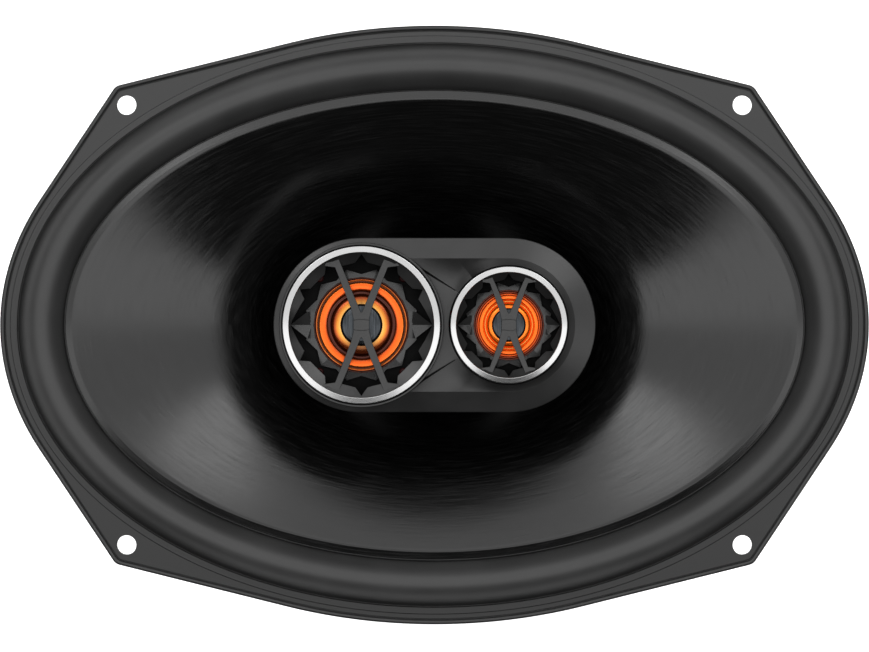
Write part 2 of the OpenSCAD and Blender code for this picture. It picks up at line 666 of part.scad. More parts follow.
module driver_cup(d) {
    rc = coil_r(d);
    ro = d[3] + 1.4;
    color([0.6, 0.6, 0.62]) translate([d[0], 0, 0]) rotate_extrude() polygon([
        [0, base_top], [ro, base_top], [ro, -0.3], [d[3] - 0.2, -0.3],
        [d[3] - 0.2, -1.3], [rc + 0.8, -1.3], [rc + 0.8, base_top + 1.7],
        [0, base_top + 1.7]]);
}

module driver_magnet(d) {
    color([0.75, 0.75, 0.78]) translate([d[0], 0, base_top + 1.7])
        cylinder(r = coil_r(d) - 1.1, h = 2.5);
}

module driver_pole(d) {
    color([0.6, 0.6, 0.62]) translate([d[0], 0, base_top + 4.2])
        cylinder(r = coil_r(d) - 0.4, h = 1.9);
}

grille_top = 6.6;
module large_bezel() { bezel(large_d(), -2, 8.4); }
module large_grille() { grille(large_d(), 2.2, grille_top); }
module large_star_plate() {
    difference() {
        star_plate(large_d(), 0);
        for (i = [-1, 1]) for (j = [-1, 1]) translate([large_x + i * 11.3, j * 12.7, -1])
            cylinder(r = 0.75, h = 4, $fn = 32);
    }
}
module large_screws() {
    color([0.12, 0.1, 0.1]) for (i = [-1, 1]) for (j = [-1, 1])
        translate([large_x + i * 11.3, j * 12.7, 0]) {
            translate([0, 0, -3]) cylinder(r = 0.7, h = 4.1, $fn = 32);
            translate([0, 0, 1]) cylinder(r1 = 1.1, r2 = 0.8, h = 0.6, $fn = 32);
        }
}
module large_phase_plug() { phase_plug(large_d(), 2.5, grille_top - 2.2); }
module large_surround() { dome_surround(large_d()); }
module large_diaphragm() { diaphragm(large_d()); }
module large_voice_coil() { dome_coil(large_d()); }
module large_magnet_cup() { driver_cup(large_d()); }
module large_magnet() { driver_magnet(large_d()); }
module large_pole_disc() { driver_pole(large_d()); }
module small_bezel() { bezel(small_d(), -2, 7.4); }
module small_grille() { grille(small_d(), 2.2, grille_top - 0.8); }
module small_star_plate() { star_plate(small_d(), 0); }
module small_phase_plug() { phase_plug(small_d(), 2.5, grille_top - 3); }
module small_surround() { dome_surround(small_d()); }
module small_diaphragm() { diaphragm(small_d()); }
module small_voice_coil() { dome_coil(small_d()); }
module small_magnet_cup() { driver_cup(small_d()); }
module small_magnet() { driver_magnet(small_d()); }
module small_pole_disc() { driver_pole(small_d()); }

basket();
mounting_gasket();
trim_ring();
surround();
cone();
coil_former();
voice_coil();
lead_pads();
spider();
tinsel_leads();
basket_rivets();
top_plate();
ferrite_magnet();
yoke();
magnet_boot();
pod_post();
post_washer();
post_nut();
terminal_block();
positive_tab();
negative_tab();
terminal_rivets();
tweeter_capacitor();
supertweeter_capacitor();
capacitor_leads();
tweeter_wires();
pod_base();
pod_screws();
pod_housing();
large_bezel();
large_grille();
large_star_plate();
large_screws();
large_phase_plug();
large_surround();
large_diaphragm();
large_voice_coil();
large_magnet_cup();
large_magnet();
large_pole_disc();
small_bezel();
small_grille();
small_star_plate();
small_phase_plug();
small_surround();
small_diaphragm();
small_voice_coil();
small_magnet_cup();
small_magnet();
small_pole_disc();
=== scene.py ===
"""Looks of an oval coaxial car speaker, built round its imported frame.

Shapes are worked out in millimetres and put into meshes in metres. The order is: sizes, mesh tools,
oval tools, shader tools, finishes, then the pieces from the basket to the tweeters, then the studio.
"""
import math

import bmesh
import bpy
import numpy as np
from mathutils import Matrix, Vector


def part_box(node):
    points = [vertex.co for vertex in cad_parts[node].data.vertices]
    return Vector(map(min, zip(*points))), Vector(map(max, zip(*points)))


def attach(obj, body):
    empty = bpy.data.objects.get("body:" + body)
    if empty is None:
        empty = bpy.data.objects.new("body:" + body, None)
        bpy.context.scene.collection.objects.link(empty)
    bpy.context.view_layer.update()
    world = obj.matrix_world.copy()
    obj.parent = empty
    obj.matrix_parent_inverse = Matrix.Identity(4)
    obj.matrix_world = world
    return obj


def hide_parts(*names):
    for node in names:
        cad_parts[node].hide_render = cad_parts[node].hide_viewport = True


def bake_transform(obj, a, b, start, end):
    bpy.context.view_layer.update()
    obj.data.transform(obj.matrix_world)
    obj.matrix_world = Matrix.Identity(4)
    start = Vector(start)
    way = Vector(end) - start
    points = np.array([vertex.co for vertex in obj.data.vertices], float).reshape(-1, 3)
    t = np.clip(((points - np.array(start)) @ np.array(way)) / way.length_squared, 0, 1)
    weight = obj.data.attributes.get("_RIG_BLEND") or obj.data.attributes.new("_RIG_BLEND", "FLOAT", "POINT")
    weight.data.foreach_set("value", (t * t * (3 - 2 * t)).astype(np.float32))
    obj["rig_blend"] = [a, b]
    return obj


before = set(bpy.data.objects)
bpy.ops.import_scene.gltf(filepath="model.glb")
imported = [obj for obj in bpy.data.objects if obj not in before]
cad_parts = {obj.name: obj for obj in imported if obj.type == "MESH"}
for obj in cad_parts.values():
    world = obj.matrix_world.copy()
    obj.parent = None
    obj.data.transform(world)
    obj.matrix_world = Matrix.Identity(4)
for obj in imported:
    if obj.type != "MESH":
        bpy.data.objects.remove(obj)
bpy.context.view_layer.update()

MM = 0.001


def stand(name, data):
    """New object in the scene, at the origin."""
    thing = bpy.data.objects.new(name, data)
    bpy.context.scene.collection.objects.link(thing)
    return thing


def corners(node):
    """Lowest and highest corner of a CAD node, in millimetres."""
    low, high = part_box(node)
    return np.array(low) / MM, np.array(high) / MM


# ------------------------------------------------------------------ sizes read off the frame
LONG, SHORT, RIM_TOP = corners("basket")[1]
SEAT = corners("top_plate")[1][2]
LEDGE = SEAT + 11
LUG, TAB_X, BOARD_BACK = LEDGE + 5, 11, -56.8
TRIM_TOP = corners("trim_ring")[1][2]
ROLL_TOP = corners("surround")[1][2]
CONE_HIGH = corners("cone")[1]
CONE_DEPTH = 37.4
FORMER = corners("coil_former")[1][0]
MAGNET = corners("ferrite_magnet")[1][0]
BOOT_LOW, BOOT_HIGH = corners("magnet_boot")
BACK = corners("yoke")[0][2]
POD_FLOOR = corners("pod_base")[1][2]
LARGE_X = float(sum(c[0] for c in corners("large_bezel")) / 2)
SMALL_X = float(sum(c[0] for c in corners("small_bezel")) / 2)

EAR_X, EAR_Y, EAR_R = 84.4, 62.0, 3.0
EAR_HOLES = [((sx * 83.3, sy * 59.5), (2.65, 2.65), 2) for sx in (1, -1) for sy in (1, -1)]
FLANGE_TOP = 0.6
ROLL_OUT, ROLL_IN, ROLL_FOOT = 4.95, 17.25, 1.6
BLOCK_MARGIN = 2


# ------------------------------------------------------------------ mesh tools
class Shell:
    """Points and faces of one piece, gathered from grids of worked-out points."""

    def __init__(self):
        self.points, self.quads, self.caps, self.count = [], [], [], 0

    def grid(self, points, wrap_u=False, wrap_v=False, keep=None, up=False):
        """Quads over points[u, v]. Wrapping joins the last row or column to the first, keep[u, v] says
        which quads are there, and up turns them all so that together they face +Z."""
        nu, nv = points.shape[:2]
        ids = self.count + np.arange(nu * nv).reshape(nu, nv)
        self.points.append(points.reshape(-1, 3))
        self.count += nu * nv
        whole = ids
        if wrap_u:
            whole = np.vstack([whole, whole[:1]])
        if wrap_v:
            whole = np.hstack([whole, whole[:, :1]])
        quads = np.stack([whole[:-1, :-1], whole[1:, :-1], whole[1:, 1:], whole[:-1, 1:]], -1)
        quads = quads[keep] if keep is not None else quads.reshape(-1, 4)
        if up:
            every = np.vstack(self.points)
            a, b = every[quads[:, 2]] - every[quads[:, 0]], every[quads[:, 3]] - every[quads[:, 1]]
            if np.cross(a, b)[:, 2].sum() < 0:
                quads = quads[:, ::-1]
        self.quads.append(quads)
        return ids

    def cap(self, ring):
        """One flat face across a ring of point numbers."""
        self.caps.append([int(i) for i in ring])

    def capped(self, points):
        """Grid of rings, with a flat face across its first ring and its last."""
        ids = self.grid(points, wrap_v=True)
        self.cap(ids[0])
        self.cap(ids[-1])

    def turned(self, profile, radii=0, x=0.0, y=0.0, steps=96, closed=False, arcs=5, lie=None):
        """Solid turned from a profile whose corners are rounded by radii. A closed profile makes a
        ring, an open one starts and ends on the axis. lie is an axis and a place to lay it along."""
        points = lathe(rounded(profile, radii, closed, arcs), x, y, steps)
        self.grid(lying(points, *lie) if lie else points, wrap_u=closed, wrap_v=True)
        return self

    def box(self, low, high, soft=0.2):
        """Block with softened edges between two corners."""
        (x0, y0, z0), (x1, y1, z1) = low, high
        soft = min(soft, (x1 - x0) / 3, (y1 - y0) / 3, (z1 - z0) / 3)
        self.prism([(x0, y0), (x1, y0), (x1, y1), (x0, y1)], z0, z1, soft)

    def prism(self, outline, z0, z1, soft=0.2, place=None):
        """Flat outline (anticlockwise) raised from z0 to z1. Its two faces are set in by soft and joined
        to the sides by quarter circles. place turns the points once they are made."""
        outline = np.asarray(outline, float)
        turn = np.linspace(0, math.pi / 2, 4)
        inset = np.concatenate([soft * (1 - np.sin(turn)), soft * (1 - np.cos(turn))])
        height = np.concatenate([z0 + soft * (1 - np.cos(turn)), z1 - soft * (1 - np.sin(turn))])
        points = raised((set_in(outline, i), z) for i, z in zip(inset, height))
        self.capped(place(points) if place else points)


def raised(rows):
    """Grid of points: one ring for each (flat outline, its height or each point's height)."""
    return np.stack([np.column_stack([flat, np.broadcast_to(z, len(flat))]) for flat, z in rows])


def round_from(x, reach, turn):
    """Flat points that lie reach away from (x, 0) in the directions turn."""
    return np.column_stack([x + reach * np.cos(turn), reach * np.sin(turn)])


def set_in(outline, distance):
    """Outline with every side moved inwards by distance: each corner moves along the sum of its two
    sides' outward directions, divided by one plus their dot product."""
    side = np.roll(outline, -1, 0) - outline
    out = np.column_stack([side[:, 1], -side[:, 0]]) / np.hypot(*side.T)[:, None]
    before = np.roll(out, 1, 0)
    return outline - distance * (before + out) / (1 + (before * out).sum(1))[:, None]


def rounded(points, radii, closed=False, steps=5):
    """Line through points whose corners are arcs of the given radii, with one more point just outside
    each end of an arc, so that smooth shading stays on the arc."""
    points = np.asarray(points, float)
    count = len(points)
    radii = np.broadcast_to(radii, count)
    line = []
    for k in range(count):
        corner = points[k]
        if radii[k] <= 0 or (not closed and k in (0, count - 1)):
            line.append(corner[None])
            continue
        a, b = points[k - 1] - corner, points[(k + 1) % count] - corner
        la, lb = np.linalg.norm(a), np.linalg.norm(b)
        a, b = a / la, b / lb
        half = math.acos(np.clip(a @ b, -1, 1)) / 2
        if half > math.pi / 2 - 0.02:
            line.append(corner[None])
            continue
        reach = min(radii[k] / math.tan(half), 0.42 * min(la, lb))
        middle = corner + (a + b) / np.linalg.norm(a + b) * reach / math.cos(half)
        swing, w = math.pi - 2 * half, np.linspace(0, 1, steps + 1)[:, None]
        arc = middle + (np.sin((1 - w) * swing) * (corner + a * reach - middle)
                        + np.sin(w * swing) * (corner + b * reach - middle)) / math.sin(swing)
        line += [corner + a * reach * 1.12, arc, corner + b * reach * 1.12]
    return np.vstack([np.atleast_2d(p) for p in line])


def curve(points, steps=6):
    """Smooth line through points: uniform Catmull-Rom, with steps pieces to each stretch."""
    p = np.asarray(points, float)
    a, b, c, d = (np.vstack([p[:1], p[:-2]]), p[:-1], p[1:], np.vstack([p[2:], p[-1:]]))
    t = (np.arange(steps) / steps)[None, :, None]
    a, b, c, d = (q[:, None] for q in (a, b, c, d))
    line = 0.5 * (2 * b + (c - a) * t + (2 * a - 5 * b + 4 * c - d) * t ** 2
                  + (3 * b - a - 3 * c + d) * t ** 3)
    return np.vstack([line.reshape(-1, p.shape[1]), p[-1:]])


def lathe(profile, x=0.0, y=0.0, steps=96):
    """Profile of (radius, height) points turned round an upright axis at (x, y)."""
    profile = np.asarray(profile, float)
    turn = np.arange(steps) * 2 * math.pi / steps
    r, z = profile[:, :1], profile[:, 1:2]
    return np.stack([x + r * np.cos(turn), y + r * np.sin(turn), z + 0 * turn], -1)


def lying(points, axis, at):
    """Points made upright at the origin, laid so that +Z runs along axis ('x' or 'y'), then moved."""
    x, y, z = points[..., 0], points[..., 1], points[..., 2]
    turned = (z, x, y) if axis == "x" else (y, z, x)
    return np.stack(turned, -1) + np.asarray(at, float)


def strand(path, radius, sides=12, strands=0, lay=3.0, depth=0.12):
    """Round tube along path. With strands, its radius rises and falls as radius times
    1 + depth cos(strands x angle - length / lay), which reads as twisted or braided wire."""
    path = np.asarray(path, float)
    ahead = np.gradient(path, axis=0)
    ahead /= np.linalg.norm(ahead, axis=1)[:, None]
    side = np.cross([0.31, 1, 0.17], ahead)
    side /= np.linalg.norm(side, axis=1)[:, None]
    over = np.cross(ahead, side)
    turn = np.arange(sides) * 2 * math.pi / sides
    along = np.concatenate([[0], np.cumsum(np.linalg.norm(np.diff(path, axis=0), axis=1))])
    size = radius * np.ones((len(path), sides))
    if strands:
        size = radius * (1 - depth + depth * np.cos(strands * turn - along[:, None] / lay * math.tau))
    ring = np.cos(turn)[None, :, None] * side[:, None] + np.sin(turn)[None, :, None] * over[:, None]
    points = path[:, None] + size[..., None] * ring
    ends = [np.broadcast_to(path[k], (1, sides, 3)) for k in (0, -1)]
    return np.concatenate([ends[0], points, ends[1]])


def pierced(shell, flat, lift, holes):
    """Sheet over the flat coordinates flat[u, v] with holes in it. lift turns flat coordinates into
    points. Each hole is (centre, half sizes, power): |a|^power + |b|^power = 1. The block of quads
    round it is left out, and rings of quads run from that block's edge to the hole's edge."""
    nu, nv = flat.shape[:2]
    keep = np.ones((nu - 1, nv), bool)
    patches = []
    for centre, half, power in holes:
        away = np.abs(flat - centre) / half
        near = (away ** power).sum(-1) < 1.04
        us, vs = np.nonzero(near)
        u0, u1 = max(us.min() - BLOCK_MARGIN, 0), min(us.max() + BLOCK_MARGIN, nu - 1)
        v0, v1 = vs.min() - BLOCK_MARGIN, vs.max() + BLOCK_MARGIN
        keep[u0:u1, v0:v1] = False
        loop = np.concatenate([flat[u0, v0:v1], flat[u0:u1, v1], flat[u1, v1:v0:-1],
                               flat[u1:u0:-1, v0]])
        heading = (loop - centre) / half
        edge = centre + half * heading / ((np.abs(heading) ** power).sum(-1) ** (1 / power))[:, None]
        w = (np.linspace(0, 1, 5) ** 0.8)[:, None, None]
        patches.append(loop * (1 - w) + edge * w)
    shell.grid(lift(flat), wrap_v=True, keep=keep, up=True)
    for patch in patches:
        shell.grid(lift(patch), wrap_v=True, up=True)


def piece(name, shell, body, stands_for, finish, crisp=32, wall=0, side=-1):
    """Mesh object from a shell, in its place on its body. wall gives an open sheet its thickness, and
    crisp is the angle in degrees past which an edge stays sharp."""
    points = np.vstack(shell.points) * MM
    quads = np.vstack(shell.quads)
    loops = np.concatenate([quads.ravel(), *[np.array(c) for c in shell.caps]]).astype(np.int32)
    sizes = np.concatenate([np.full(len(quads), 4), [len(c) for c in shell.caps]]).astype(np.int32)
    mesh = bpy.data.meshes.new(name)
    mesh.vertices.add(len(points))
    mesh.vertices.foreach_set("co", points.astype(np.float32).ravel())
    mesh.loops.add(len(loops))
    mesh.loops.foreach_set("vertex_index", loops)
    mesh.polygons.add(len(sizes))
    starts = np.concatenate([[0], np.cumsum(sizes)[:-1]]).astype(np.int32)
    mesh.polygons.foreach_set("loop_start", starts)
    mesh.update(calc_edges=True)
    work = bmesh.new()
    work.from_mesh(mesh)
    bmesh.ops.remove_doubles(work, verts=work.verts, dist=2e-6)
    loose = [v for v in work.verts if not v.link_faces]
    bmesh.ops.delete(work, geom=loose, context="VERTS")
    if not wall:
        bmesh.ops.recalc_face_normals(work, faces=work.faces)
    work.to_mesh(mesh)
    work.free()
    mesh.validate()
    mesh.polygons.foreach_set("use_smooth", np.full(len(mesh.polygons), True))
    mesh.set_sharp_from_angle(angle=math.radians(crisp))
    mesh.materials.append(finish)
    thing = stand(name, mesh)
    if wall:
        shell_wall = thing.modifiers.new("wall", "SOLIDIFY")
        shell_wall.thickness, shell_wall.offset = wall * MM, side
    if isinstance(body, str):
        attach(thing, body)
    else:
        held, moving, weight = body
        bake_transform(thing, held, moving, start=(0, 0, 0), end=(0, 0, 1))
        place = np.empty(len(mesh.vertices) * 3, np.float32)
        mesh.vertices.foreach_get("co", place)
        values = np.clip(weight(place.reshape(-1, 3) / MM), 0, 1).astype(np.float32)
        mesh.attributes["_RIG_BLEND"].data.foreach_set("value", values * values * (3 - 2 * values))
    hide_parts(stands_for)


# ------------------------------------------------------------------ oval tools
EAR_TURN = math.degrees(math.atan2(EAR_Y / SHORT, EAR_X / LONG))
TURN = np.radians(np.unique(np.round(np.concatenate(
    [np.arange(0, 360, 1.0)] + [np.arange(-6, 6.01, 0.25) + c for c in
                                (EAR_TURN, 180 - EAR_TURN, 180 + EAR_TURN, 360 - EAR_TURN)]), 2)))
COS, SIN = np.cos(TURN), np.sin(TURN)
HEADING = np.arctan2(SHORT * SIN, LONG * COS)


def ovals(rows):
    """Grid of points: one ring for each row (half length, half width, height)."""
    a, b, z = (np.asarray(rows, float)[:, k:k + 1] for k in range(3))
    return np.stack([a * COS, b * SIN, z + 0 * COS], -1)


def edge_radius(inset):
    """Distance of the frame's edge from the middle in each direction of HEADING. The edge, set in by
    inset, is in each direction whichever reaches further, the oval or an ear's round end, so straight
    lines join them."""
    t = np.radians(np.arange(0, 360, 0.25) + 0.1)
    c, s = np.cos(t), np.sin(t)
    a, b, r = LONG - inset, SHORT - inset, EAR_R - inset
    reach = np.hypot(a * c, b * s)
    ear = np.stack([np.sign(c) * EAR_X + r * c, np.sign(s) * EAR_Y + r * s], -1)
    oval = np.stack([a * a * c / reach, b * b * s / reach], -1)
    line = np.where((reach >= (ear * np.stack([c, s], -1)).sum(-1))[:, None], oval, ear)
    line = np.vstack([line, line[:1]])
    run = np.concatenate([[0], np.cumsum(np.hypot(*np.diff(line, axis=0).T))])
    even = np.arange(0, run[-1], 0.2)
    x, y = np.interp(even, run, line[:, 0]), np.interp(even, run, line[:, 1])
    angle = np.arctan2(y, x)
    order = np.argsort(angle)
    return np.interp(HEADING, angle[order], np.hypot(x, y)[order], period=2 * math.pi)


def edges(profile):
    """Grid of points: one ring for each (inset from the frame's edge, height)."""
    return raised((round_from(0, edge_radius(inset), HEADING), height) for inset, height in profile)


def oval_insets(profile):
    """Grid of points: one ring for each (inset from the frame's oval, height)."""
    return ovals([(LONG - inset, SHORT - inset, height) for inset, height in profile])


def ear_sheet(shell, first, last, parts, height):
    """Flat sheet at one height, in evenly spaced rings from the ring first to the ring last, with the
    four ear holes in it."""
    w = np.linspace(0, 1, parts + 1)[:, None, None]
    rings = first[None] * (1 - w) + last[None] * w
    pierced(shell, rings[..., :2],
            lambda q: np.concatenate([q, np.full(q.shape[:-1] + (1,), height)], -1), EAR_HOLES)


# ------------------------------------------------------------------ shader tools
class Link:
    """A shader socket in a formula: Python's operators on it add Math nodes."""

    def __init__(self, finish, socket):
        self.finish, self.socket = finish, socket

    def math(self, operation, *others):
        return self.finish.node("ShaderNodeMath", {"operation": operation}, (self, *others))

    def __getitem__(self, output):
        return Link(self.finish, self.socket.node.outputs[output])

    def __add__(self, other):
        return self.math("ADD", other)

    def __mul__(self, other):
        return self.math("MULTIPLY", other)

    __radd__, __rmul__ = __add__, __mul__

    def __sub__(self, other):
        return self.math("SUBTRACT", other)

    def __rsub__(self, other):
        return self.finish.node("ShaderNodeMath", {"operation": "SUBTRACT"}, (other, self))

    def __truediv__(self, other):
        return self.math("DIVIDE", other)

    def __pow__(self, other):
        return self.math("POWER", other)

    def step(self, low, high):
        """0 below low, 1 above high, smooth between."""
        return self.finish.node("ShaderNodeMapRange", {"interpolation_type": "SMOOTHSTEP"},
                                {"Value": self, "From Min": low, "From Max": high})

    def band(self, middle, half):
        """1 within half of middle, falling smoothly to 0 over as much again."""
        return 1 - (self - middle).math("ABSOLUTE").step(half, 2 * half)


class Finish:
    """A material being built up from nodes."""

    def __init__(self, name):
        self.material = bpy.data.materials.new(name)
        self.material.use_nodes = True
        self.nodes = self.material.node_tree.nodes
        self.wires = self.material.node_tree.links
        self.nodes.clear()

    def node(self, kind, settings=None, sockets=None, output=0):
        """Adds a node: its settings first, then each socket's value or link."""
        made = self.nodes.new(kind)
        for key, value in (settings or {}).items():
            if key == "stops":
                ramp = made.color_ramp
                while len(ramp.elements) < len(value):
                    ramp.elements.new(0.5)
                for element, (position, colour) in zip(ramp.elements, value):
                    element.position, element.color = position, colour
            else:
                setattr(made, key, value)
        named = sockets.items() if isinstance(sockets, dict) else enumerate(sockets or ())
        for key, value in named:
            if isinstance(value, Link):
                self.wires.new(value.socket, made.inputs[key])
            elif value is not None:
                made.inputs[key].default_value = value
        return Link(self, made.outputs[output])

    def place(self):
        """Where a point is, in millimetres."""
        where = self.node("ShaderNodeTexCoord", output="Object")
        return self.node("ShaderNodeVectorMath", {"operation": "SCALE"}, {0: where, "Scale": 1000.0})

    def place_and_axes(self):
        """Where a point is, whole and as its three coordinates."""
        at = self.place()
        split = self.node("ShaderNodeSeparateXYZ", None, {0: at})
        return at, split["X"], split["Y"], split["Z"]

    def joined(self, x, y, z):
        return self.node("ShaderNodeCombineXYZ", None, (x, y, z))

    def noise(self, vector, scale, detail=2.0, rough=0.5):
        return self.node("ShaderNodeTexNoise", None,
                         {"Vector": vector, "Scale": scale, "Detail": detail, "Roughness": rough})

    def cells(self, vector, scale):
        return self.node("ShaderNodeTexVoronoi", None, {"Vector": vector, "Scale": scale})

    def mix(self, factor, first, second):
        """Colour from first to second as factor goes from 0 to 1."""
        return self.node("ShaderNodeMix", {"data_type": "RGBA"}, {0: factor, 6: first, 7: second}, 2)

    def bump(self, height, strength=0.3, depth=0.05, onto=None):
        """Relief of the given height field; depth is in millimetres."""
        return self.node("ShaderNodeBump", None, {"Height": height, "Strength": strength,
                                                  "Distance": depth * MM, "Normal": onto})

    def shade(self, base, rough, metal=0.0, normal=None, **constants):
        """Ends the material in one shader."""
        sockets = {"Base Color": base, "Roughness": rough, "Metallic": metal, "Normal": normal}
        sockets.update({key.replace("_", " ").replace("Ior Level", "IOR Level"): value
                        for key, value in constants.items()})
        shader = self.node("ShaderNodeBsdfPrincipled", None, sockets)
        ending = self.nodes.new("ShaderNodeOutputMaterial")
        self.wires.new(shader.socket, ending.inputs["Surface"])
        return self.material


def grey(level):
    """Colour of one lightness."""
    return (level, level, level, 1.0)


def moulded(name, dark, light, rough, grain, relief, **constants):
    """Moulded plastic or rubber: slow blotches between two colours, a fine grain in the relief, and a
    roughness that follows both."""
    f = Finish(name)
    at = f.place()
    slow = f.noise(at, 1 / 9.0, 3.0)
    fine = f.noise(at, 1 / grain, 2.0, 0.6)
    wide = slow.step(0.35, 0.65)
    return f.shade(f.mix(wide, dark, light), rough + (fine - 0.5) * 0.10 + (slow - 0.5) * 0.12,
                   normal=f.bump(fine, 0.5, relief), **constants)


def plated(name, dark, light, rough, streak=(1.0, 1.0, 1.0), scale=1.6, relief=0.004):
    """Bare or plated metal: faint clouds of colour and fine scratches stretched along streak."""
    f = Finish(name)
    at = f.place()
    stretched = f.node("ShaderNodeVectorMath", {"operation": "MULTIPLY"}, (at, streak))
    cloud = f.noise(at, 0.12, 4.0, 0.6)
    scratch = f.noise(stretched, scale, 5.0, 0.7)
    return f.shade(f.mix(cloud.step(0.3, 0.7), dark, light),
                   rough + (scratch - 0.5) * 0.16 + (cloud - 0.5) * 0.08, 1.0,
                   f.bump(scratch, 0.35, relief))


# ------------------------------------------------------------------ finishes
def cone_skin():
    """Glossy black cone: fine lines run round it, broken into short strokes, over slow waves."""
    f = Finish("cone_skin")
    at, x, y, _ = f.place_and_axes()
    u, v = x / float(CONE_HIGH[0]), y / float(CONE_HIGH[1])
    out = (u * u + v * v) ** 0.5
    cosine, sine = u / (out + 0.001), v / (out + 0.001)
    stroke = f.noise(f.joined(cosine * 6, sine * 6, out * 150), 1.0, 4.0, 0.7)
    broad = f.noise(f.joined(cosine * 2.2, sine * 2.2, out * 14), 1.0, 3.0, 0.6)
    dust = f.noise(at, 2.2, 3.0)
    rough = 0.17 + stroke.step(0.35, 0.8) * 0.12 + (broad - 0.5) * 0.08
    relief = f.bump(stroke + broad * 0.6, 0.35, 0.05)
    return f.shade(f.mix(stroke.step(0.4, 0.75), grey(0.0006), grey(0.003)), rough, 0.0,
                   f.bump(dust, 0.15, 0.01, relief))


def satin_trim():
    """Satin moulding: fine grain, with a painted light gradient that grows paler from one long side to the
    other, lighter towards +Y and darker towards -Y.
    """
    f = Finish("satin_trim")
    at, _, y, _ = f.place_and_axes()
    grain, slow = f.noise(at, 3.0, 2.0), f.noise(at, 0.07, 3.0)
    # painted light: the colour is lighter towards +Y, where the light comes from, and darker towards -Y
    painted_light_gradient = y / (2 * float(SHORT)) + 0.5 + (slow - 0.5) * 0.2
    return f.shade(f.mix(painted_light_gradient, grey(0.001), grey(0.026)), 0.44 + (slow - 0.5) * 0.08, 0.0,
                   f.bump(grain, 0.3, 0.012), Specular_IOR_Level=0.42)


def surround_skin():
    """Matt rubber: a fine leathery grain, with faint mould lines round the roll."""
    f = Finish("surround_skin")
    at, x, y, _ = f.place_and_axes()
    roll_long, roll_short = 112.5, 76.1
    u, v = x / roll_long, y / roll_short
    out = (u * u + v * v) ** 0.5
    lines = f.noise(f.joined(out * 90, 0.0, 0.0), 1.0, 2.0)
    grain, slow = f.cells(at, 2.6), f.noise(at, 0.06, 3.0)
    return f.shade(f.mix(slow.step(0.3, 0.7), grey(0.022), grey(0.028)),
                   0.5 + (slow - 0.5) * 0.12 + (grain - 0.4) * 0.08, 0.0,
                   f.bump(lines, 0.25, 0.03, f.bump(grain, 0.25, 0.012)))


def pressed_steel():
    """Black stoved paint on pressed steel: orange peel, with paler specks of worn paint scattered by noise.
    """
    f = Finish("stoved_black")
    at = f.place()
    peel, slow = f.noise(at, 1.1, 2.0), f.noise(at, 0.07, 4.0)
    speck = f.noise(at, 4.0, 2.0).step(0.62, 0.72)
    base = f.mix(slow.step(0.3, 0.7), grey(0.008), grey(0.013))
    return f.shade(f.mix(speck * 0.3, base, grey(0.04)), 0.36 + (slow - 0.5) * 0.14 + speck * 0.1,
                   0.0, f.bump(peel, 0.5, 0.03))


def foam_sheet():
    """Closed-cell foam: open pores of two sizes, the larger ones with painted shade darkening their bottoms.
    """
    f = Finish("gasket_foam")
    at = f.place()
    pores, small = f.cells(at, 1.4), f.cells(at, 3.6)
    pore_shade = pores.step(0.0, 0.35)
    # painted shade: the colour darkens towards the bottom of each larger pore
    return f.shade(f.mix(pore_shade, grey(0.01), grey(0.032)), 0.9 - small * 0.1, 0.0,
                   f.bump(pores + small * 0.5, 0.6, 0.12))


def doped_cloth():
    """Woven spider cloth, amber with resin: two sets of threads crossing at right angles, with painted shade
    making it darker where the threads dip.
    """
    f = Finish("spider_weave")
    at, x, y, _ = f.place_and_axes()
    warp, weft = (x * 5.2).math("SINE"), (y * 5.2).math("SINE")
    cross = ((x * 2.6).math("SINE") * (y * 2.6).math("SINE")).step(-0.3, 0.3)
    height = cross * warp.math("ABSOLUTE") + (1 - cross) * weft.math("ABSOLUTE")
    slow = f.noise(at, 0.09, 4.0)
    # painted shade: darker amber where the threads dip, lighter on their crests
    base = f.mix(height, (0.16, 0.075, 0.018, 1), (0.42, 0.24, 0.08, 1))
    return f.shade(f.mix(slow.step(0.55, 0.8) * 0.5, base, (0.2, 0.09, 0.02, 1)),
                   0.72 - slow * 0.2, 0.0, f.bump(height, 0.7, 0.09))


def paper_tube():
    """Brown resin-soaked former film with faint winding lines."""
    f = Finish("former_film")
    at, _, _, z = f.place_and_axes()
    lines, slow = (z * 9.0).math("SINE"), f.noise(at, 0.3, 3.0)
    return f.shade(f.mix(slow, (0.26, 0.13, 0.04, 1), (0.42, 0.24, 0.09, 1)),
                   0.36 + slow * 0.12, 0.0, f.bump(lines, 0.15, 0.01))


def wound_wire(pitch=0.3):
    """Enamelled copper laid turn on turn: round ridges one pitch apart up the coil, with painted shade
    making the grooves between turns darker than the crests.
    """
    f = Finish("enamelled_copper")
    at, _, _, z = f.place_and_axes()
    turns = (z * (math.pi / pitch)).math("SINE").math("ABSOLUTE")
    slow = f.noise(at, 0.4, 3.0)
    # painted shade: darker copper in the grooves between turns, lighter on the crests
    return f.shade(f.mix(turns * 0.6 + slow * 0.4, (0.2, 0.05, 0.014, 1), (0.75, 0.26, 0.09, 1)),
                   0.3 + slow * 0.1, 1.0, f.bump(turns, 0.7, 0.06))


def fired_ferrite():
    """Ground grey-black ceramic: fine pits, with a slow cloudy tone."""
    f = Finish("ferrite")
    at = f.place()
    pits, slow = f.cells(at, 2.0), f.noise(at, 0.2, 4.0)
    return f.shade(f.mix(slow, grey(0.02), grey(0.04)), 0.5 + (slow - 0.5) * 0.2, 0.0,
                   f.bump(pits.step(0.0, 0.25), 0.4, 0.04))


def phenolic_board():
    """Terminal board: brown-black laminate with paper fibre showing."""
    f = Finish("terminal_board")
    _, x, y, z = f.place_and_axes()
    fibre = f.noise(f.joined(x * 0.5, y * 0.5, z * 4.0), 1.0, 5.0, 0.7)
    return f.shade(f.mix(fibre.step(0.3, 0.7), (0.028, 0.016, 0.009, 1), (0.06, 0.036, 0.02, 1)),
                   0.42 + (fibre - 0.5) * 0.2, 0.0, f.bump(fibre, 0.3, 0.02))


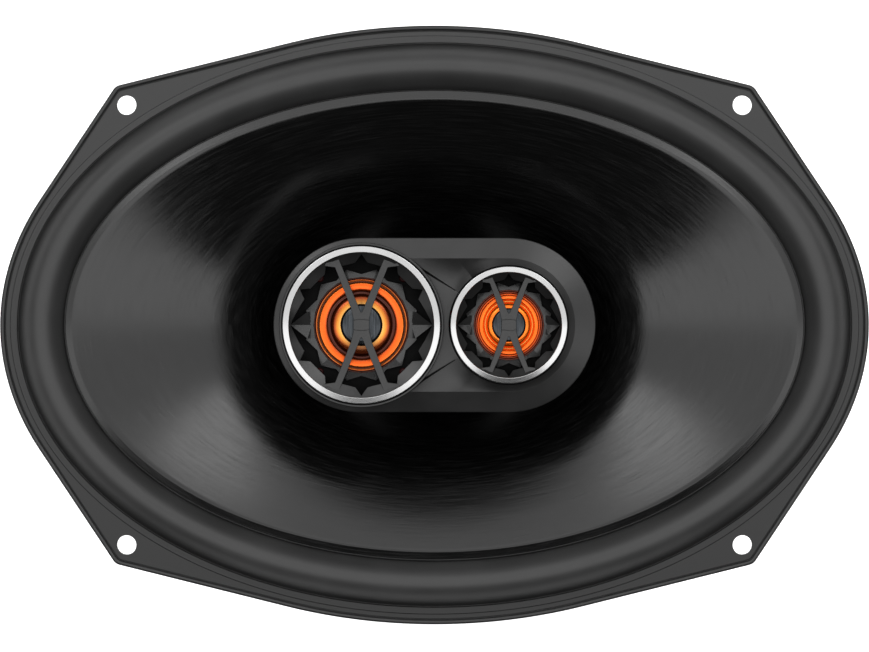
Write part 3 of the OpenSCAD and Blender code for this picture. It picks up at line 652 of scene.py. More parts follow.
def dome_film(name, centre, rim, stops, shaded_share=0.0):
    """Metallised orange film: its colour follows the distance from the dome's middle as a share of the rim's
    radius, and fine lines run round it. Within the share given last, painted shade darkens it above and
    below, most below, standing in for a dark reflection."""
    f = Finish(name)
    at, x, y, _ = f.place_and_axes()
    across = x - centre
    out = ((across * across + y * y) ** 0.5) / rim
    hue = f.node("ShaderNodeValToRGB", {"stops": stops}, {"Fac": out})
    ripple = f.noise(f.joined(out * 60, 0.0, 0.0), 1.0, 2.0)
    slow = f.noise(at, 0.5, 3.0)
    lean = (across.math("ABSOLUTE") + y * 0.35) / (out * rim + 0.01)
    # painted shade: a dark reflection painted into the film above and below the middle, darkest below
    dim = (1 - out.step(shaded_share - 0.001, shaded_share + 0.07)) * (1 - lean.step(-0.1, 0.95)) * 0.85
    hue = f.mix(dim, hue, (0.05, 0.007, 0.002, 1))
    return f.shade(f.mix(slow * 0.15, hue, (0.3, 0.04, 0.003, 1)), 0.25 + (ripple - 0.5) * 0.12,
                   0.8, f.bump(ripple, 0.2, 0.02), Coat_Weight=0.15, Coat_Roughness=0.12)


def grille_skin(name, centre, reach):
    """Satin grey guard: fine grain, and two thin bowed lines pressed across the hub of its X, coloured
    near-black as painted shade in the pressed lines.
    """
    f = Finish(name)
    at, x, y, _ = f.place_and_axes()
    across = x - centre
    bow = y.math("ABSOLUTE") - 1.5 + across * across * 0.06
    line = bow.band(0.0, 0.055) * (1 - across.math("ABSOLUTE").step(reach, reach + 0.1))
    slow, fine = f.noise(at, 0.15, 3.0), f.noise(at, 3.5, 2.0)
    base = f.mix(slow.step(0.3, 0.7), grey(0.008), grey(0.012))
    # painted shade: the pressed lines are coloured near-black
    return f.shade(f.mix(line, base, grey(0.001)), 0.3 + (fine - 0.5) * 0.1, 0.0,
                   f.bump(1 - line, 0.6, 0.12, f.bump(fine, 0.4, 0.015)))


def turned_plug(name):
    """Polished plug, lightly brushed one way."""
    f = Finish(name)
    _, x, y, z = f.place_and_axes()
    brush = f.noise(f.joined(x * 3.0, y * 0.15, z), 1.0, 4.0, 0.6)
    return f.shade(f.mix(brush.step(0.3, 0.7), (0.024, 0.027, 0.03, 1), (0.05, 0.056, 0.062, 1)),
                   0.22 + (brush - 0.5) * 0.2, 0.9, f.bump(brush, 0.3, 0.02))


def chromed(name):
    """Bright chrome with very faint polishing marks."""
    f = Finish(name)
    at = f.place()
    marks, slow = f.noise(at, 5.0, 4.0, 0.7), f.noise(at, 0.2, 3.0)
    return f.shade(f.mix(slow, grey(0.42), grey(0.47)), 0.17 + (marks - 0.5) * 0.06, 1.0,
                   f.bump(marks, 0.12, 0.003))


TRIM = satin_trim()
STEEL_PAINT = pressed_steel()
FOAM = foam_sheet()
RUBBER = surround_skin()
CONE_SKIN = cone_skin()
WEAVE = doped_cloth()
FORMER_FILM = paper_tube()
COPPER = wound_wire()
ZINC = plated("zinc_plate", (0.42, 0.43, 0.45, 1), (0.58, 0.58, 0.57, 1), 0.34, (0.3, 0.3, 3.0))
FERRITE = fired_ferrite()
BOOT = moulded("boot_rubber", grey(0.012), grey(0.019), 0.55, 0.5, 0.03)
BLACK = moulded("black_nylon", grey(0.012), grey(0.018), 0.42, 0.4, 0.015)
POD = moulded("pod_plastic", grey(0.009), grey(0.013), 0.34, 0.28, 0.012)
STAR = moulded("star_plastic", grey(0.012), grey(0.018), 0.24, 0.3, 0.008)
FLOCK = moulded("dull_black", grey(0.0012), grey(0.002), 0.85, 0.5, 0.01, Specular_IOR_Level=0.12)
SCREW = moulded("screw_black", (0.016, 0.001, 0.001, 1), (0.03, 0.002, 0.002, 1), 0.5, 0.2, 0.01,
                Specular_IOR_Level=0.15)
BOARD = phenolic_board()
BRASS = plated("brass", (0.55, 0.38, 0.13, 1), (0.75, 0.56, 0.24, 1), 0.3, (0.4, 3.0, 0.4))
TIN = plated("tinned", (0.55, 0.55, 0.54, 1), (0.7, 0.7, 0.69, 1), 0.34, (0.4, 3.0, 0.4))
SOLDER = plated("solder", (0.5, 0.48, 0.44, 1), (0.65, 0.62, 0.56, 1), 0.38)
BRAID = plated("tinsel", (0.5, 0.36, 0.22, 1), (0.78, 0.64, 0.46, 1), 0.36, (1, 1, 1), 3.0, 0.01)
SLEEVE = moulded("capacitor_sleeve", (0.01, 0.012, 0.02, 1), (0.016, 0.018, 0.03, 1), 0.3, 0.6, 0.008)
RED = moulded("red_insulation", (0.3, 0.01, 0.008, 1), (0.42, 0.02, 0.014, 1), 0.38, 0.4, 0.01)
CHROME = chromed("chrome")
NICKEL = plated("nickel", (0.5, 0.48, 0.45, 1), (0.62, 0.6, 0.57, 1), 0.25)


# ------------------------------------------------------------------ basket, gasket and trim ring
BOWL = curve([(110.3, 73.8, 0.6), (109.5, 73.0, 0.2), (109.0, 72.5, -1.4), (108.6, 72.1, -6),
              (106.5, 70.3, -10), (102.5, 67.8, -13), (92, 64.2, -18), (81.5, 61, -23),
              (71.5, 58.2, -28), (62.5, 55.6, -33), (56.2, 53.6, -37), (53.1, 52.7, -40),
              (52.2, 52.2, -41.1), (50.8, 50.8, -41.6), (48.4, 48.4, -41.65), (47.2, 47.2, -42.2),
              (46.8, 46.8, -43.4), (46.8, 46.8, -45.4), (46.8, 46.8, -47.6), (46.8, 46.8, -49.8),
              (46.3, 46.3, -50.9), (45.2, 45.2, -51.4), (40, 40, -51.4), (30.3, 30.3, -51.4)], 3)
BOWL_RUN = np.arange(len(BOWL), dtype=float)


def stretch(high, low):
    """Middle and half length of the bowl profile's stretch between two heights."""
    start, end = (float(np.interp(-z, -BOWL[:, 2], BOWL_RUN)) for z in (high, low))
    return (start + end) / 2, (end - start) / 2


WINDOW_MID, WINDOW_HALF = stretch(-13, -37)
VENT_MID, VENT_HALF = stretch(-44, -49)
WINDOW_STEP, WINDOW_WIDE, VENT_STEP, VENT_WIDE = 60, 21, 45, 7.9


def bowl_points(flat):
    """Pressed bowl at (turn in degrees, run along the profile): ovals of the profile's half sizes. It
    is pushed out by a rib down each spoke, a lip round each window and a bead under the flange."""
    turn, run = flat[..., 0], flat[..., 1]
    a, b, z = (np.interp(run, BOWL_RUN, BOWL[:, k]) for k in range(3))
    slope = np.gradient(BOWL, axis=0)
    slope /= np.linalg.norm(slope[:, [0, 2]], axis=1)[:, None]
    out_a, out_z = np.interp(run, BOWL_RUN, -slope[:, 2]), np.interp(run, BOWL_RUN, slope[:, 0])
    half_step = WINDOW_STEP / 2
    spoke = np.abs((turn + half_step) % WINDOW_STEP - half_step)
    down = (run - WINDOW_MID) / WINDOW_HALF
    rib = 1.1 * np.exp(-(spoke / 3.2) ** 4) * np.exp(-np.abs(down / 1.02) ** 12)
    across = (turn % WINDOW_STEP - half_step) / WINDOW_WIDE
    ring = (np.abs(across) ** 5 + np.abs(down) ** 5) ** 0.2 - 1
    lip = 0.8 * np.exp(-(np.maximum(ring, 0) / 0.06) ** 2)
    bead = 0.7 * np.exp(-((z + 6.5) / 1.4) ** 2)
    push = rib + np.where(ring < 0.3, lip, 0) + bead
    t = np.radians(turn)
    return np.stack([(a + push * out_a) * np.cos(t), (b + push * out_a) * np.sin(t),
                     z + push * out_z], -1)


def basket():
    """One pressed sheet: upturned rim, flat flange with four ear holes, then the bowl with six windows
    and the cup with eight vents, down to the seat on the motor."""
    shell = Shell()
    rim = edges(rounded([(0.6, RIM_TOP), (0.6, FLANGE_TOP), (2.0, FLANGE_TOP)], [0, 0.7, 0]))
    shell.grid(rim, wrap_v=True, up=True)
    ear_sheet(shell, rim[-1], ovals([(*BOWL[0, :2], 0)])[0], 16, FLANGE_TOP)
    flat = np.stack(np.meshgrid(BOWL_RUN, np.degrees(TURN), indexing="ij")[::-1], -1)
    windows = [(((k + 0.5) * WINDOW_STEP, WINDOW_MID), (WINDOW_WIDE, WINDOW_HALF), 5)
               for k in range(6)]
    vents = [(((k + 0.5) * VENT_STEP, VENT_MID), (VENT_WIDE, VENT_HALF), 5) for k in range(8)]
    pierced(shell, flat, bowl_points, windows + vents)
    piece("basket_pressing", shell, "frame", "basket", STEEL_PAINT, wall=1.15, side=0)
    shell = Shell()
    outline = rounded([(-54, -54), (-52.8, -54), (-52.8, -42.4), (-48, -42.4), (-48, -41.15),
                       (-54, -41.15)], [0.3, 0.3, 0.4, 0.2, 0.2, 1.4], closed=True)
    shell.prism(outline, -15, 15, 0.2, lambda p: lying(p, "x", (0, 0, 0)))
    piece("terminal_bracket", shell, "frame", "basket", STEEL_PAINT)


def gasket():
    """Flat foam ring behind the flange, from just inside the rim to the bowl, with the ear holes."""
    shell = Shell()
    ear_sheet(shell, edges([(1.6, 0)])[0], ovals([(110.4, 73.9, 0)])[0], 26, -0.02)
    piece("foam_gasket", shell, "frame", "mounting_gasket", FOAM, wall=1.95)


def trim_ring():
    """Moulded ring on the flange: flat out to the ears, with a raised oval land round the roll."""
    shell = Shell()
    level = TRIM_TOP - 0.4
    skirt = edges(rounded([(1.5, 1.5), (1.5, level), (2.1, level)], [0, 0.14, 0]))
    land = oval_insets(rounded([(2.62, level), (2.72, level), (2.8, TRIM_TOP), (4.74, TRIM_TOP),
                                (4.74, 1.9)], [0, 0.05, 0.12, 0.35, 0]))
    shell.grid(skirt, wrap_v=True, up=True)
    ear_sheet(shell, skirt[-1], land[0], 24, level)
    shell.grid(land, wrap_v=True, up=True)
    piece("satin_trim_ring", shell, "frame", "trim_ring", TRIM, wall=1.1)


# ------------------------------------------------------------------ moving system
def inset_of(points):
    """How far inside the frame's oval each point is: the inset of the oval through it, by halving."""
    low, high = np.zeros(len(points)), np.full(len(points), 40.0)
    for _ in range(24):
        half = (low + high) / 2
        outside = (points[:, 0] / (LONG - half)) ** 2 + (points[:, 1] / (SHORT - half)) ** 2 > 1
        low, high = np.where(outside, low, half), np.where(outside, half, high)
    return low


def surround():
    """Roll edge: across it the height rises as sin(t) to the power 1.6 while the place goes as cos(t).
    Flat flanges at its two sides glue it to the frame and the cone."""
    middle, half = (ROLL_OUT + ROLL_IN) / 2, (ROLL_IN - ROLL_OUT) / 2
    turn = np.linspace(0, math.pi, 41)
    over = [(middle - half * math.cos(t),
             ROLL_FOOT + (ROLL_TOP - ROLL_FOOT) * math.sin(t) ** 1.6) for t in turn]
    under = [(middle - (half - 0.55) * math.cos(t), 1.25 + (ROLL_TOP - 1.8) * math.sin(t) ** 1.6)
             for t in turn[::-1]]
    loop = [(3.55, 1.7), (4.6, 1.7)] + over + [(17.5, 1.7), (18.8, 1.7), (18.8, 1.22)] + under \
        + [(3.55, 1.22)]
    shell = Shell()
    shell.grid(oval_insets(loop), wrap_u=True, wrap_v=True)
    piece("roll_surround", shell,
          ("frame", "cone_assembly", lambda p: (inset_of(p) - 5.4) / (16.8 - 5.4)),
          "surround", RUBBER, crisp=50)


def cone():
    """Oval cone: its half sizes grow evenly from the neck while its height rises as 1 - exp(-0.9 t),
    ending in a lip that slopes down outwards onto the surround."""
    t = np.linspace(0, 1, 56)
    rise = (1 - np.exp(-0.9 * t)) / (1 - math.exp(-0.9))
    neck, a, b = 16.75, CONE_HIGH[0] - 1.9, CONE_HIGH[1] - 2.2
    top, depth = CONE_HIGH[2], CONE_DEPTH
    front = np.column_stack([neck + (a - neck) * t, neck + (b - neck) * t, top - depth + depth * rise])
    back = (front + np.array([0.3, 0.3, -0.5]))[::-1]
    lip = rounded([front[-1], (a + 0.2, b + 0.2, top), (a + 1.9, b + 2.2, top - 0.6),
                   (a + 1.9, b + 2.2, top - 1.9), (a + 0.8, b + 0.9, top - 1.7), back[0]],
                  [0, 0.25, 0.2, 0.1, 0.2, 0])[1:-1]
    tail = [(neck + 0.1, neck + 0.1, top - depth - 3), (neck - 0.4, neck - 0.4, top - depth - 3),
            (neck - 0.4, neck - 0.4, top - depth)]
    shell = Shell()
    shell.grid(ovals(np.vstack([front, lip, back, tail])), wrap_u=True, wrap_v=True)
    piece("glossy_cone", shell, "cone_assembly", "cone", CONE_SKIN)


def spider():
    """Corrugated centring ring: flat collar, five cosine waves, flat outer ring glued to the ledge."""
    low, high = corners("spider")
    r = np.linspace(16.6, 50.6, 180)
    wave = np.clip((r - 19.2) / 26.4, 0, 1)
    cloth = 0.45
    z = low[2] + (high[2] - low[2] - cloth) / 2 * (1 - np.cos(wave * 10 * math.pi))
    loop = np.vstack([np.column_stack([r, z + cloth]), np.column_stack([r, z])[::-1]])
    shell = Shell().turned(loop, steps=144, closed=True)
    piece("corrugated_spider", shell,
          ("frame", "cone_assembly", lambda p: (45.4 - np.hypot(p[:, 0], p[:, 1])) / (45.4 - 18)),
          "spider", WEAVE, crisp=60)


def former_and_leads():
    """Former tube with a rolled edge, and two braided leads that loop from the lugs to its pads."""
    low, high = (corner[2] for corner in corners("coil_former"))
    r = FORMER
    shell = Shell().turned([(r - 0.3, low), (r, low), (r, high), (r - 0.3, high)], 0.1, steps=128,
                           closed=True)
    piece("former_tube", shell, "cone_assembly", "coil_former", FORMER_FILM)
    neck, reach, pad = CONE_HIGH[2] - CONE_DEPTH, FORMER + 0.8, math.radians(28)
    shell = Shell()
    for i in (-1, 1):
        path = curve([(i * TAB_X, -52.6, LUG + 0.4), (i * TAB_X, -50, LUG + 0.9),
                      (i * 10.8, -44, LUG + 2.2), (i * 10.4, -36, LUG + 2), (i * 9.8, -27, LUG - 0.4),
                      (i * 8.9, -20.5, neck - 4.2),
                      (i * reach * math.sin(pad), -reach * math.cos(pad), neck - 4.6)], 16)
        shell.grid(strand(path, 0.55, 20, strands=5, lay=2.4, depth=0.16), wrap_v=True)
    piece("braided_leads", shell, ("frame", "cone_assembly", lambda p: (p[:, 1] + 51.5) / 34.5),
          "tinsel_leads", BRAID, crisp=80)


# ------------------------------------------------------------------ motor and terminals
def motor():
    """Top plate with chamfers, rivet heads, the rubber boot with its grooves and wire channel, and the
    post that carries the pod."""
    low, high = corners("top_plate")
    bore = 17.35
    shell = Shell().turned([(bore, low[2]), (high[0], low[2]), (high[0], high[2]), (bore, high[2])],
                           0.5, steps=160, closed=True, arcs=3)
    piece("front_plate", shell, "frame", "top_plate", ZINC)

    shell = Shell()
    for k in range(4):
        t = math.pi / 4 + k * math.pi / 2
        shell.turned([(0, SEAT + 2.4), (2.2, SEAT + 2.3), (3.6, SEAT + 1.2), (2, SEAT + 1.1),
                      (2, SEAT - 5), (0, SEAT - 5)], [0, 1, 0.3, 0, 0, 0],
                     36 * math.cos(t), 36 * math.sin(t), 40)
    piece("rivet_heads", shell, "frame", "basket_rivets", ZINC)

    r, lip, floor = MAGNET + 2.3, BOOT_HIGH[2], BOOT_LOW[2]
    loop = rounded([(MAGNET + 0.3, lip - 0.1), (r, lip), (r, lip - 4), (r - 0.6, lip - 4.6),
                    (r, lip - 5.2), (r, floor + 9), (r - 0.6, floor + 8.4), (r, floor + 7.8),
                    (r, floor + 1.5), (MAGNET - 1, floor + 1.5), (MAGNET - 1, floor),
                    (MAGNET - 10, floor), (MAGNET - 10, floor + 1.5), (13, floor + 1.5),
                    (13, BACK - 0.02), (MAGNET + 0.3, BACK - 0.02)],
                   [0.3, 0.5, 0.3, 0.2, 0.3, 0.3, 0.2, 0.3, 2, 0.4, 0.5, 0.5, 0.4, 0.4, 0, 0],
                   closed=True)
    body = lathe(loop, steps=360)
    away = np.abs((np.degrees(np.arctan2(body[..., 1], body[..., 0])) + 90 + 180) % 360 - 180)
    reach = np.hypot(body[..., 0], body[..., 1])
    swell = np.clip((5.4 - away) / 1.6, 0, 1)
    swell = swell * swell * (3 - 2 * swell) * (reach > MAGNET + 1)
    body[..., :2] *= (1 + 2.05 * swell / reach)[..., None]
    shell = Shell()
    shell.grid(body, wrap_u=True, wrap_v=True)
    piece("magnet_cover", shell, "frame", "magnet_boot", BOOT)

    low, high = (corner[2] for corner in corners("pod_post"))
    r, bore = 6.0, 2.6
    shell = Shell().turned(
        [(bore, low), (4, low), (4, SEAT), (11.5, SEAT), (11.5, SEAT + 2.2), (r + 3, SEAT + 3.4),
         (r + 1.2, SEAT + 7), (r, SEAT + 14), (r, high - 5), (r + 2, high - 2.4), (12, high - 1.6),
         (12, high), (bore, high)],
        [0.2, 0.3, 0, 0.3, 0.6, 1.5, 5, 5, 2, 2, 0.4, 0.2, 0.2], steps=72, closed=True, arcs=4)
    piece("bridge_post", shell, "frame", "pod_post", BLACK)


def finer(line):
    """Closed line with each side cut into eight."""
    step = (np.roll(line, -1, 0) - line)[:, None]
    return (line[:, None] + step * np.linspace(0, 1, 8, endpoint=False)[:, None]).reshape(-1, 2)


def holed_plate(shell, outline, hole, radius, z0, z1):
    """Flat plate with one round hole: outline and hole are matched point for point by direction from
    the hole's middle and joined top and bottom."""
    outline, soft = np.asarray(outline, float), 0.08
    edge, face = finer(outline), finer(set_in(outline, soft))
    heading = edge - hole
    circle = hole + radius * heading / np.hypot(*heading.T)[:, None]
    shell.grid(raised([(face, z0), (edge, z0 + soft), (edge, z1 - soft), (face, z1), (circle, z1),
                       (circle, z0)]), wrap_u=True, wrap_v=True)


def terminals():
    """Fibre board with its rib, the two blades with their bent lugs, rivets, capacitors and leads."""
    low, high = corners("terminal_block")
    shell = Shell()
    board = rounded([(low[2], low[0]), (low[2], high[0]), (-49, high[0]), (-49, 17), (high[2], 17),
                     (high[2], -17), (-49, -17), (-49, low[0])], [1, 1, 1, 1, 1.5, 1.5, 1, 1],
                    closed=True)
    shell.prism(board, -56, high[1], 0.15, lambda p: lying(p, "y", (0, 0, 0)))
    shell.box((-1, low[1], -53), (1, -55.5, -39), 0.25)
    piece("fibre_board", shell, "frame", "terminal_block", BOARD)

    for name, slot, finish, x, w in (("positive_tab", "brass_blade", BRASS, TAB_X, 6.3),
                                     ("negative_tab", "tinned_blade", TIN, -TAB_X, 4.8)):
        low, high = corners(name)
        shell = Shell()
        plate = rounded([(low[2], x - 3.4), (low[2], x + 3.4), (high[2] - 0.6, x + 3.4),
                         (high[2] - 0.6, x - 3.4)], 0.7, closed=True)
        shell.prism(plate, BOARD_BACK, -56, 0.12, lambda p: lying(p, "y", (0, 0, 0)))
        shell.box((x - 1.6, BOARD_BACK, LUG), (x + 1.6, -52.6, LUG + 0.8), 0.12)
        left, right, root, shoulder, tip = x - w / 2, x + w / 2, -56.3, -66.6, -68
        blade = [(left, root), (left, shoulder), (left + 1, tip), (right - 1, tip),
                 (right, shoulder), (right, root)]
        holed_plate(shell, blade, np.array([x, -64.6]), 0.9, LEDGE - 3, LEDGE - 2.2)
        piece(name + "_blade", shell, "frame", name, finish)

    shell = Shell()
    for x in (-TAB_X, TAB_X):
        shell.turned([(0, -57.75), (2.0, -57.7), (2.6, -56.85), (1.5, -56.8), (1.5, -52.85),
                      (2.6, -52.8), (2.6, -51.7), (0, -51.6)], [0, 0.6, 0.2, 0, 0, 0.2, 0.3, 0],
                     steps=40, lie=("y", (x, 0, LEDGE - 8)))
    piece("eyelet_rivets", shell, "frame", "terminal_rivets", NICKEL)

    for name, r in (("tweeter_capacitor", 5.0), ("supertweeter_capacitor", 4.2)):
        low, high = corners(name)
        start, end = low[0] + 0.5, high[0] - 0.5
        shell = Shell().turned(
            [(0, low[0]), (r - 1, low[0]), (r - 1, start), (r, start), (r, start + 1.6),
             (r - 0.6, start + 2.2), (r, start + 2.8), (r, end), (r - 1.2, end), (r - 1.2, end + 0.2),
             (0, high[0])], [0, 0.2, 0, 0.5, 0.3, 0.4, 0.3, 0.7, 0.1, 0.1, 0], steps=64,
            lie=("x", (0, (low[1] + high[1]) / 2, (low[2] + high[2]) / 2)))
        piece(name + "_can", shell, "frame", name, SLEEVE)

    at = LEDGE - 13
    routes = [
        [(19.5, -61, at), (17.4, -60.6, at + 0.3), (15, -58.4, at + 1.4), (13.9, -57.1, at + 3)],
        [(-19.5, -60.2, at), (-17.4, -60, at + 0.3), (-15, -58.2, at + 1.4), (-13.9, -57.1, at + 3)],
        [(40.5, -61, at), (42.8, -61, at + 0.6), (43.4, -60.8, at + 4), (40, -60, at + 7.4),
         (32, -59.4, at + 8.2), (23, -58.8, at + 7.4), (16, -57.6, at + 7.2),
         (13.8, -57.1, at + 7.2)]]
    shell = Shell()
    for route in routes:
        shell.grid(strand(curve(route, 10), 0.4, 12), wrap_v=True)
    for x, z in ((13.9, at + 3), (-13.9, at + 3), (13.8, at + 7.2)):
        shell.turned([(0, -57.9), (0.7, -57.7), (1.3, -56.8), (0, -56.75)], [0, 0.4, 0.2, 0],
                     steps=20, lie=("y", (x, 0, z)))
    piece("capacitor_wires", shell, "frame", "capacitor_leads", SOLDER)


def tweeter_wires():
    """Two insulated wires from the pod down the post's bore, along the boot and up to the blades, and a
    jumper between the two tweeters."""
    y, low = -MAGNET - 1.4, BACK - 0.85
    top, mag = SEAT - 6, SEAT - 22
    for name, i, finish in (("negative_wire", -1, BLACK), ("positive_wire", 1, RED)):
        shell = Shell()
        start = (LARGE_X + 13.9 if i < 0 else SMALL_X - 10.5, 0, POD_FLOOR + 1.6)
        shell.grid(strand(curve([
            start, (i * 2.4, 0, POD_FLOOR + 0.4), (i * 1, 0, POD_FLOOR - 4),
            (i * 0.85, 0, POD_FLOOR - 12), (i * 0.85, 0, -50), (i * 0.85, 0, BACK + 5),
            (i * 0.85, -0.2, BACK + 1), (i * 0.85, -2.4, low), (i * 0.85, -9, low),
            (i * 0.85, y + 5, low), (i * 0.85, y + 1.2, low + 0.2), (i * 0.85, y, low + 2.4),
            (i * 0.85, y, mag), (i * 0.85, y, top - 6), (i * 0.9, y - 1, top - 3.6),
            (i * 1.2, y - 4.4, top - 3), (i * 3, -56.5, top - 3), (i * 6.4, -58.8, top),
            (i * 8.6, -58, top + 4.4), (i * 8.8, -57, top + 7)], 6), 0.6, 14), wrap_v=True)
        if i > 0:
            shell.grid(strand(curve([(LARGE_X + 13.9, 3, POD_FLOOR + 4), (-1, 3.6, POD_FLOOR + 3.2),
                                     (SMALL_X - 10.1, 3, POD_FLOOR + 4)], 6), 0.6, 12), wrap_v=True)
        piece(name, shell, "frame", "tweeter_wires", finish)


# ------------------------------------------------------------------ bridge pod
POD_HALF, POD_R, POD_SIDE, POD_TOP, POD_FOOT, BEVEL = 20.0, 23.6, 1.6, 4.0, -8, 5.6
LARGE_R, SMALL_R = 21.35, 15.85
ARC = np.radians(np.arange(-90, 90.1, 2.5))
RUN = np.linspace(1, -1, 81)[1:-1] * POD_HALF
POD_MID = np.concatenate([np.full(len(ARC), POD_HALF), RUN, np.full(len(ARC), -POD_HALF), -RUN])
POD_TURN = np.concatenate([ARC, np.full(len(RUN), math.pi / 2), ARC + math.pi,
                           np.full(len(RUN), 1.5 * math.pi)])


def stadium(rows):
    """Rings round the pod: each row is (radius, height), with one number or one for each station. A
    station lies that far from its own point on the pod's middle line."""
    return raised((round_from(POD_MID, r, POD_TURN), z) for r, z in rows)


def pod_bevel():
    """The pod's side and its wide bevel, cut back where the large tweeter's collar stands."""
    push = (POD_MID - LARGE_X) * np.cos(POD_TURN)
    inside = push ** 2 - (POD_MID - LARGE_X) ** 2 + (LARGE_R + 0.6) ** 2
    inner = np.maximum(POD_R - BEVEL, np.where(inside > 0, np.sqrt(np.maximum(inside, 0)) - push, 0))
    inner = np.minimum(inner, POD_R - 0.7)
    share = (POD_R - inner) / BEVEL
    line = rounded([(0, POD_FOOT), (0, POD_SIDE), (BEVEL, POD_TOP), (7, POD_TOP)],
                   [0, 0.35, 0.18, 0])
    crest = POD_SIDE + share * (POD_TOP - POD_SIDE)
    rows = [(POD_R - np.minimum(inset, share * BEVEL), np.minimum(z, crest))
            for inset, z in line[:-1]]
    return [(POD_R - 1, POD_FOOT)] + rows + [(inner - 0.01, POD_FOOT)]


def pod_plate():
    """Plate between the collars, seen from the small tweeter: lines run out from its ring to the
    plate's edge. Towards the large collar the plate is flat and low; beyond the two creases it rises
    to the bevel, and round the small ring that rise is a dish."""
    low, edge, rim, bottom, crease = 1.2, POD_R - 5.55, LARGE_R + 0.55, -7.5, 15.2
    span = math.asin(edge / rim)
    x = np.linspace(LARGE_X + math.sqrt(rim ** 2 - edge ** 2), POD_HALF, 70)
    end = np.radians(np.arange(90, -90.1, -3))
    collar = round_from(LARGE_X, rim, np.linspace(-span, span, 61)[1:-1])
    line = np.vstack([collar, np.column_stack([x, 0 * x + edge]), round_from(POD_HALF, edge, end)[1:],
                      np.column_stack([x, 0 * x - edge])[::-1][1:]])
    outward = line - np.array([SMALL_X, 0])
    far = np.hypot(*outward.T)
    outward /= far[:, None]
    height = np.full(len(line), POD_TOP)
    flat = np.arange(len(line)) < len(collar)
    beyond = np.clip((np.abs(line[flat, 1]) - crease) / (edge - crease), 0, 1)
    height[flat] = low + (POD_TOP - low) * beyond
    near, soft, slope = SMALL_R + 0.27, 0.2, 0.42
    foot = np.maximum(low, height - slope * (far - near))
    rows = [(near, bottom), (near, foot - 0.4), (near + 0.08, foot - 0.06), (near + soft, foot)]
    rows += [(near + soft + (far - near - soft) * w, foot + (height - foot) * w)
             for w in np.linspace(0, 1, 15)[1:]] + [(far, bottom)]
    return raised(([SMALL_X, 0] + outward * np.reshape(r, (-1, 1)), z) for r, z in rows)


def pod():
    """Housing with its bevel, plate and collar, the base under it and its four screws."""
    shell = Shell()
    shell.grid(stadium(pod_bevel()), wrap_u=True, wrap_v=True)
    shell.grid(pod_plate(), wrap_u=True, wrap_v=True)
    r = LARGE_R
    shell.turned([(r + 0.28, -7.8), (r + 0.95, -7.8), (r + 0.95, 4.3), (r + 0.28, 4.3)],
                 [0, 0, 0.3, 0.12], LARGE_X, steps=160, closed=True)
    piece("bevelled_pod", shell, "frame", "pod_housing", POD, crisp=14)
    low, high = (corner[2] for corner in corners("pod_base"))
    r = POD_R - 0.6
    shell = Shell()
    shell.capped(stadium(rounded([(r - 3, low), (r, low), (r, high), (r - 3, high)],
                                 [0, 0.8, 0.15, 0])))
    piece("pod_back", shell, "frame", "pod_base", BLACK)
    shell = Shell()
    for x, y in ((-3, 18.8), (-3, -18.8), (16, 18.8), (16, -18.8)):
        shell.turned([(0, low - 0.5), (0.8, low - 0.5), (0.9, low - 1.05), (1.6, low - 1.05),
                      (2.1, low), (1.2, low), (1.2, low + 5.8), (0, low + 5.8)],
                     [0, 0, 0.1, 0.25, 0.1, 0, 0.2, 0], x, y, 28)
    piece("pod_back_screws", shell, "frame", "pod_screws", BLACK)


# ------------------------------------------------------------------ tweeters
LARGE_OUTER = 19.6
PLATE_FACE = 0.9
STAR_TURN = (0.0, 5.6, 15.0, 24.4)


def star_share(k, q):
    """How far out a corner of the guard's inner edge lies, as a share of its outer radius. Corner q of
    point k; the two points on the long axis have longer sides."""
    level, before = k in (0, 6), k in (5, 11)
    return (0.98, 0.945 if level else 0.865, 0.895 if level or before else 0.855,
            0.945 if before else 0.865)[q]


def guard(shell, x, outer, top, hub, notch):
    """Ring with twelve pointed notches whose flat facets slope down to the middle, and over it the X."""
    share = outer / LARGE_OUTER
    corner = [(30 * k + STAR_TURN[q], outer * star_share(k, q)) for k in range(12) for q in range(4)]
    turn, inner = np.radians([c[0] for c in corner]), np.array([c[1] for c in corner])
    low, slope = 1.05, 7.5
    rows = [(inner, low), (outer, low), (outer, top), (inner, top - 0.3 - slope * (1 - inner / outer))]
    shell.grid(raised((round_from(x, r, turn), z) for r, z in rows), wrap_u=True, wrap_v=True)
    foot = np.radians(71 - 2.6 * np.arange(7))
    arm = [(hub, notch - 1.35), (hub + 0.7, notch + 1.5), (7.1 * share, 15.5 * share)] \
        + [((outer - 0.1) * math.cos(t), (outer - 0.1) * math.sin(t)) for t in foot[::-1]] \
        + [(0.0, notch)]
    arm = np.array(arm)
    side, back = arm[:-1], arm[:-1][::-1]
    outline = np.vstack([back * (1, -1), arm, back * (-1, 1), -side, [(0.0, -notch)]])
    on_ring = np.hypot(*outline.T) > outer - 0.2
    outline = rounded(outline, np.where(on_ring, 0, 0.22), closed=True, steps=3)
    shell.prism(outline + np.array([x, 0]), top - 2.2, top - 0.4, 0.16)


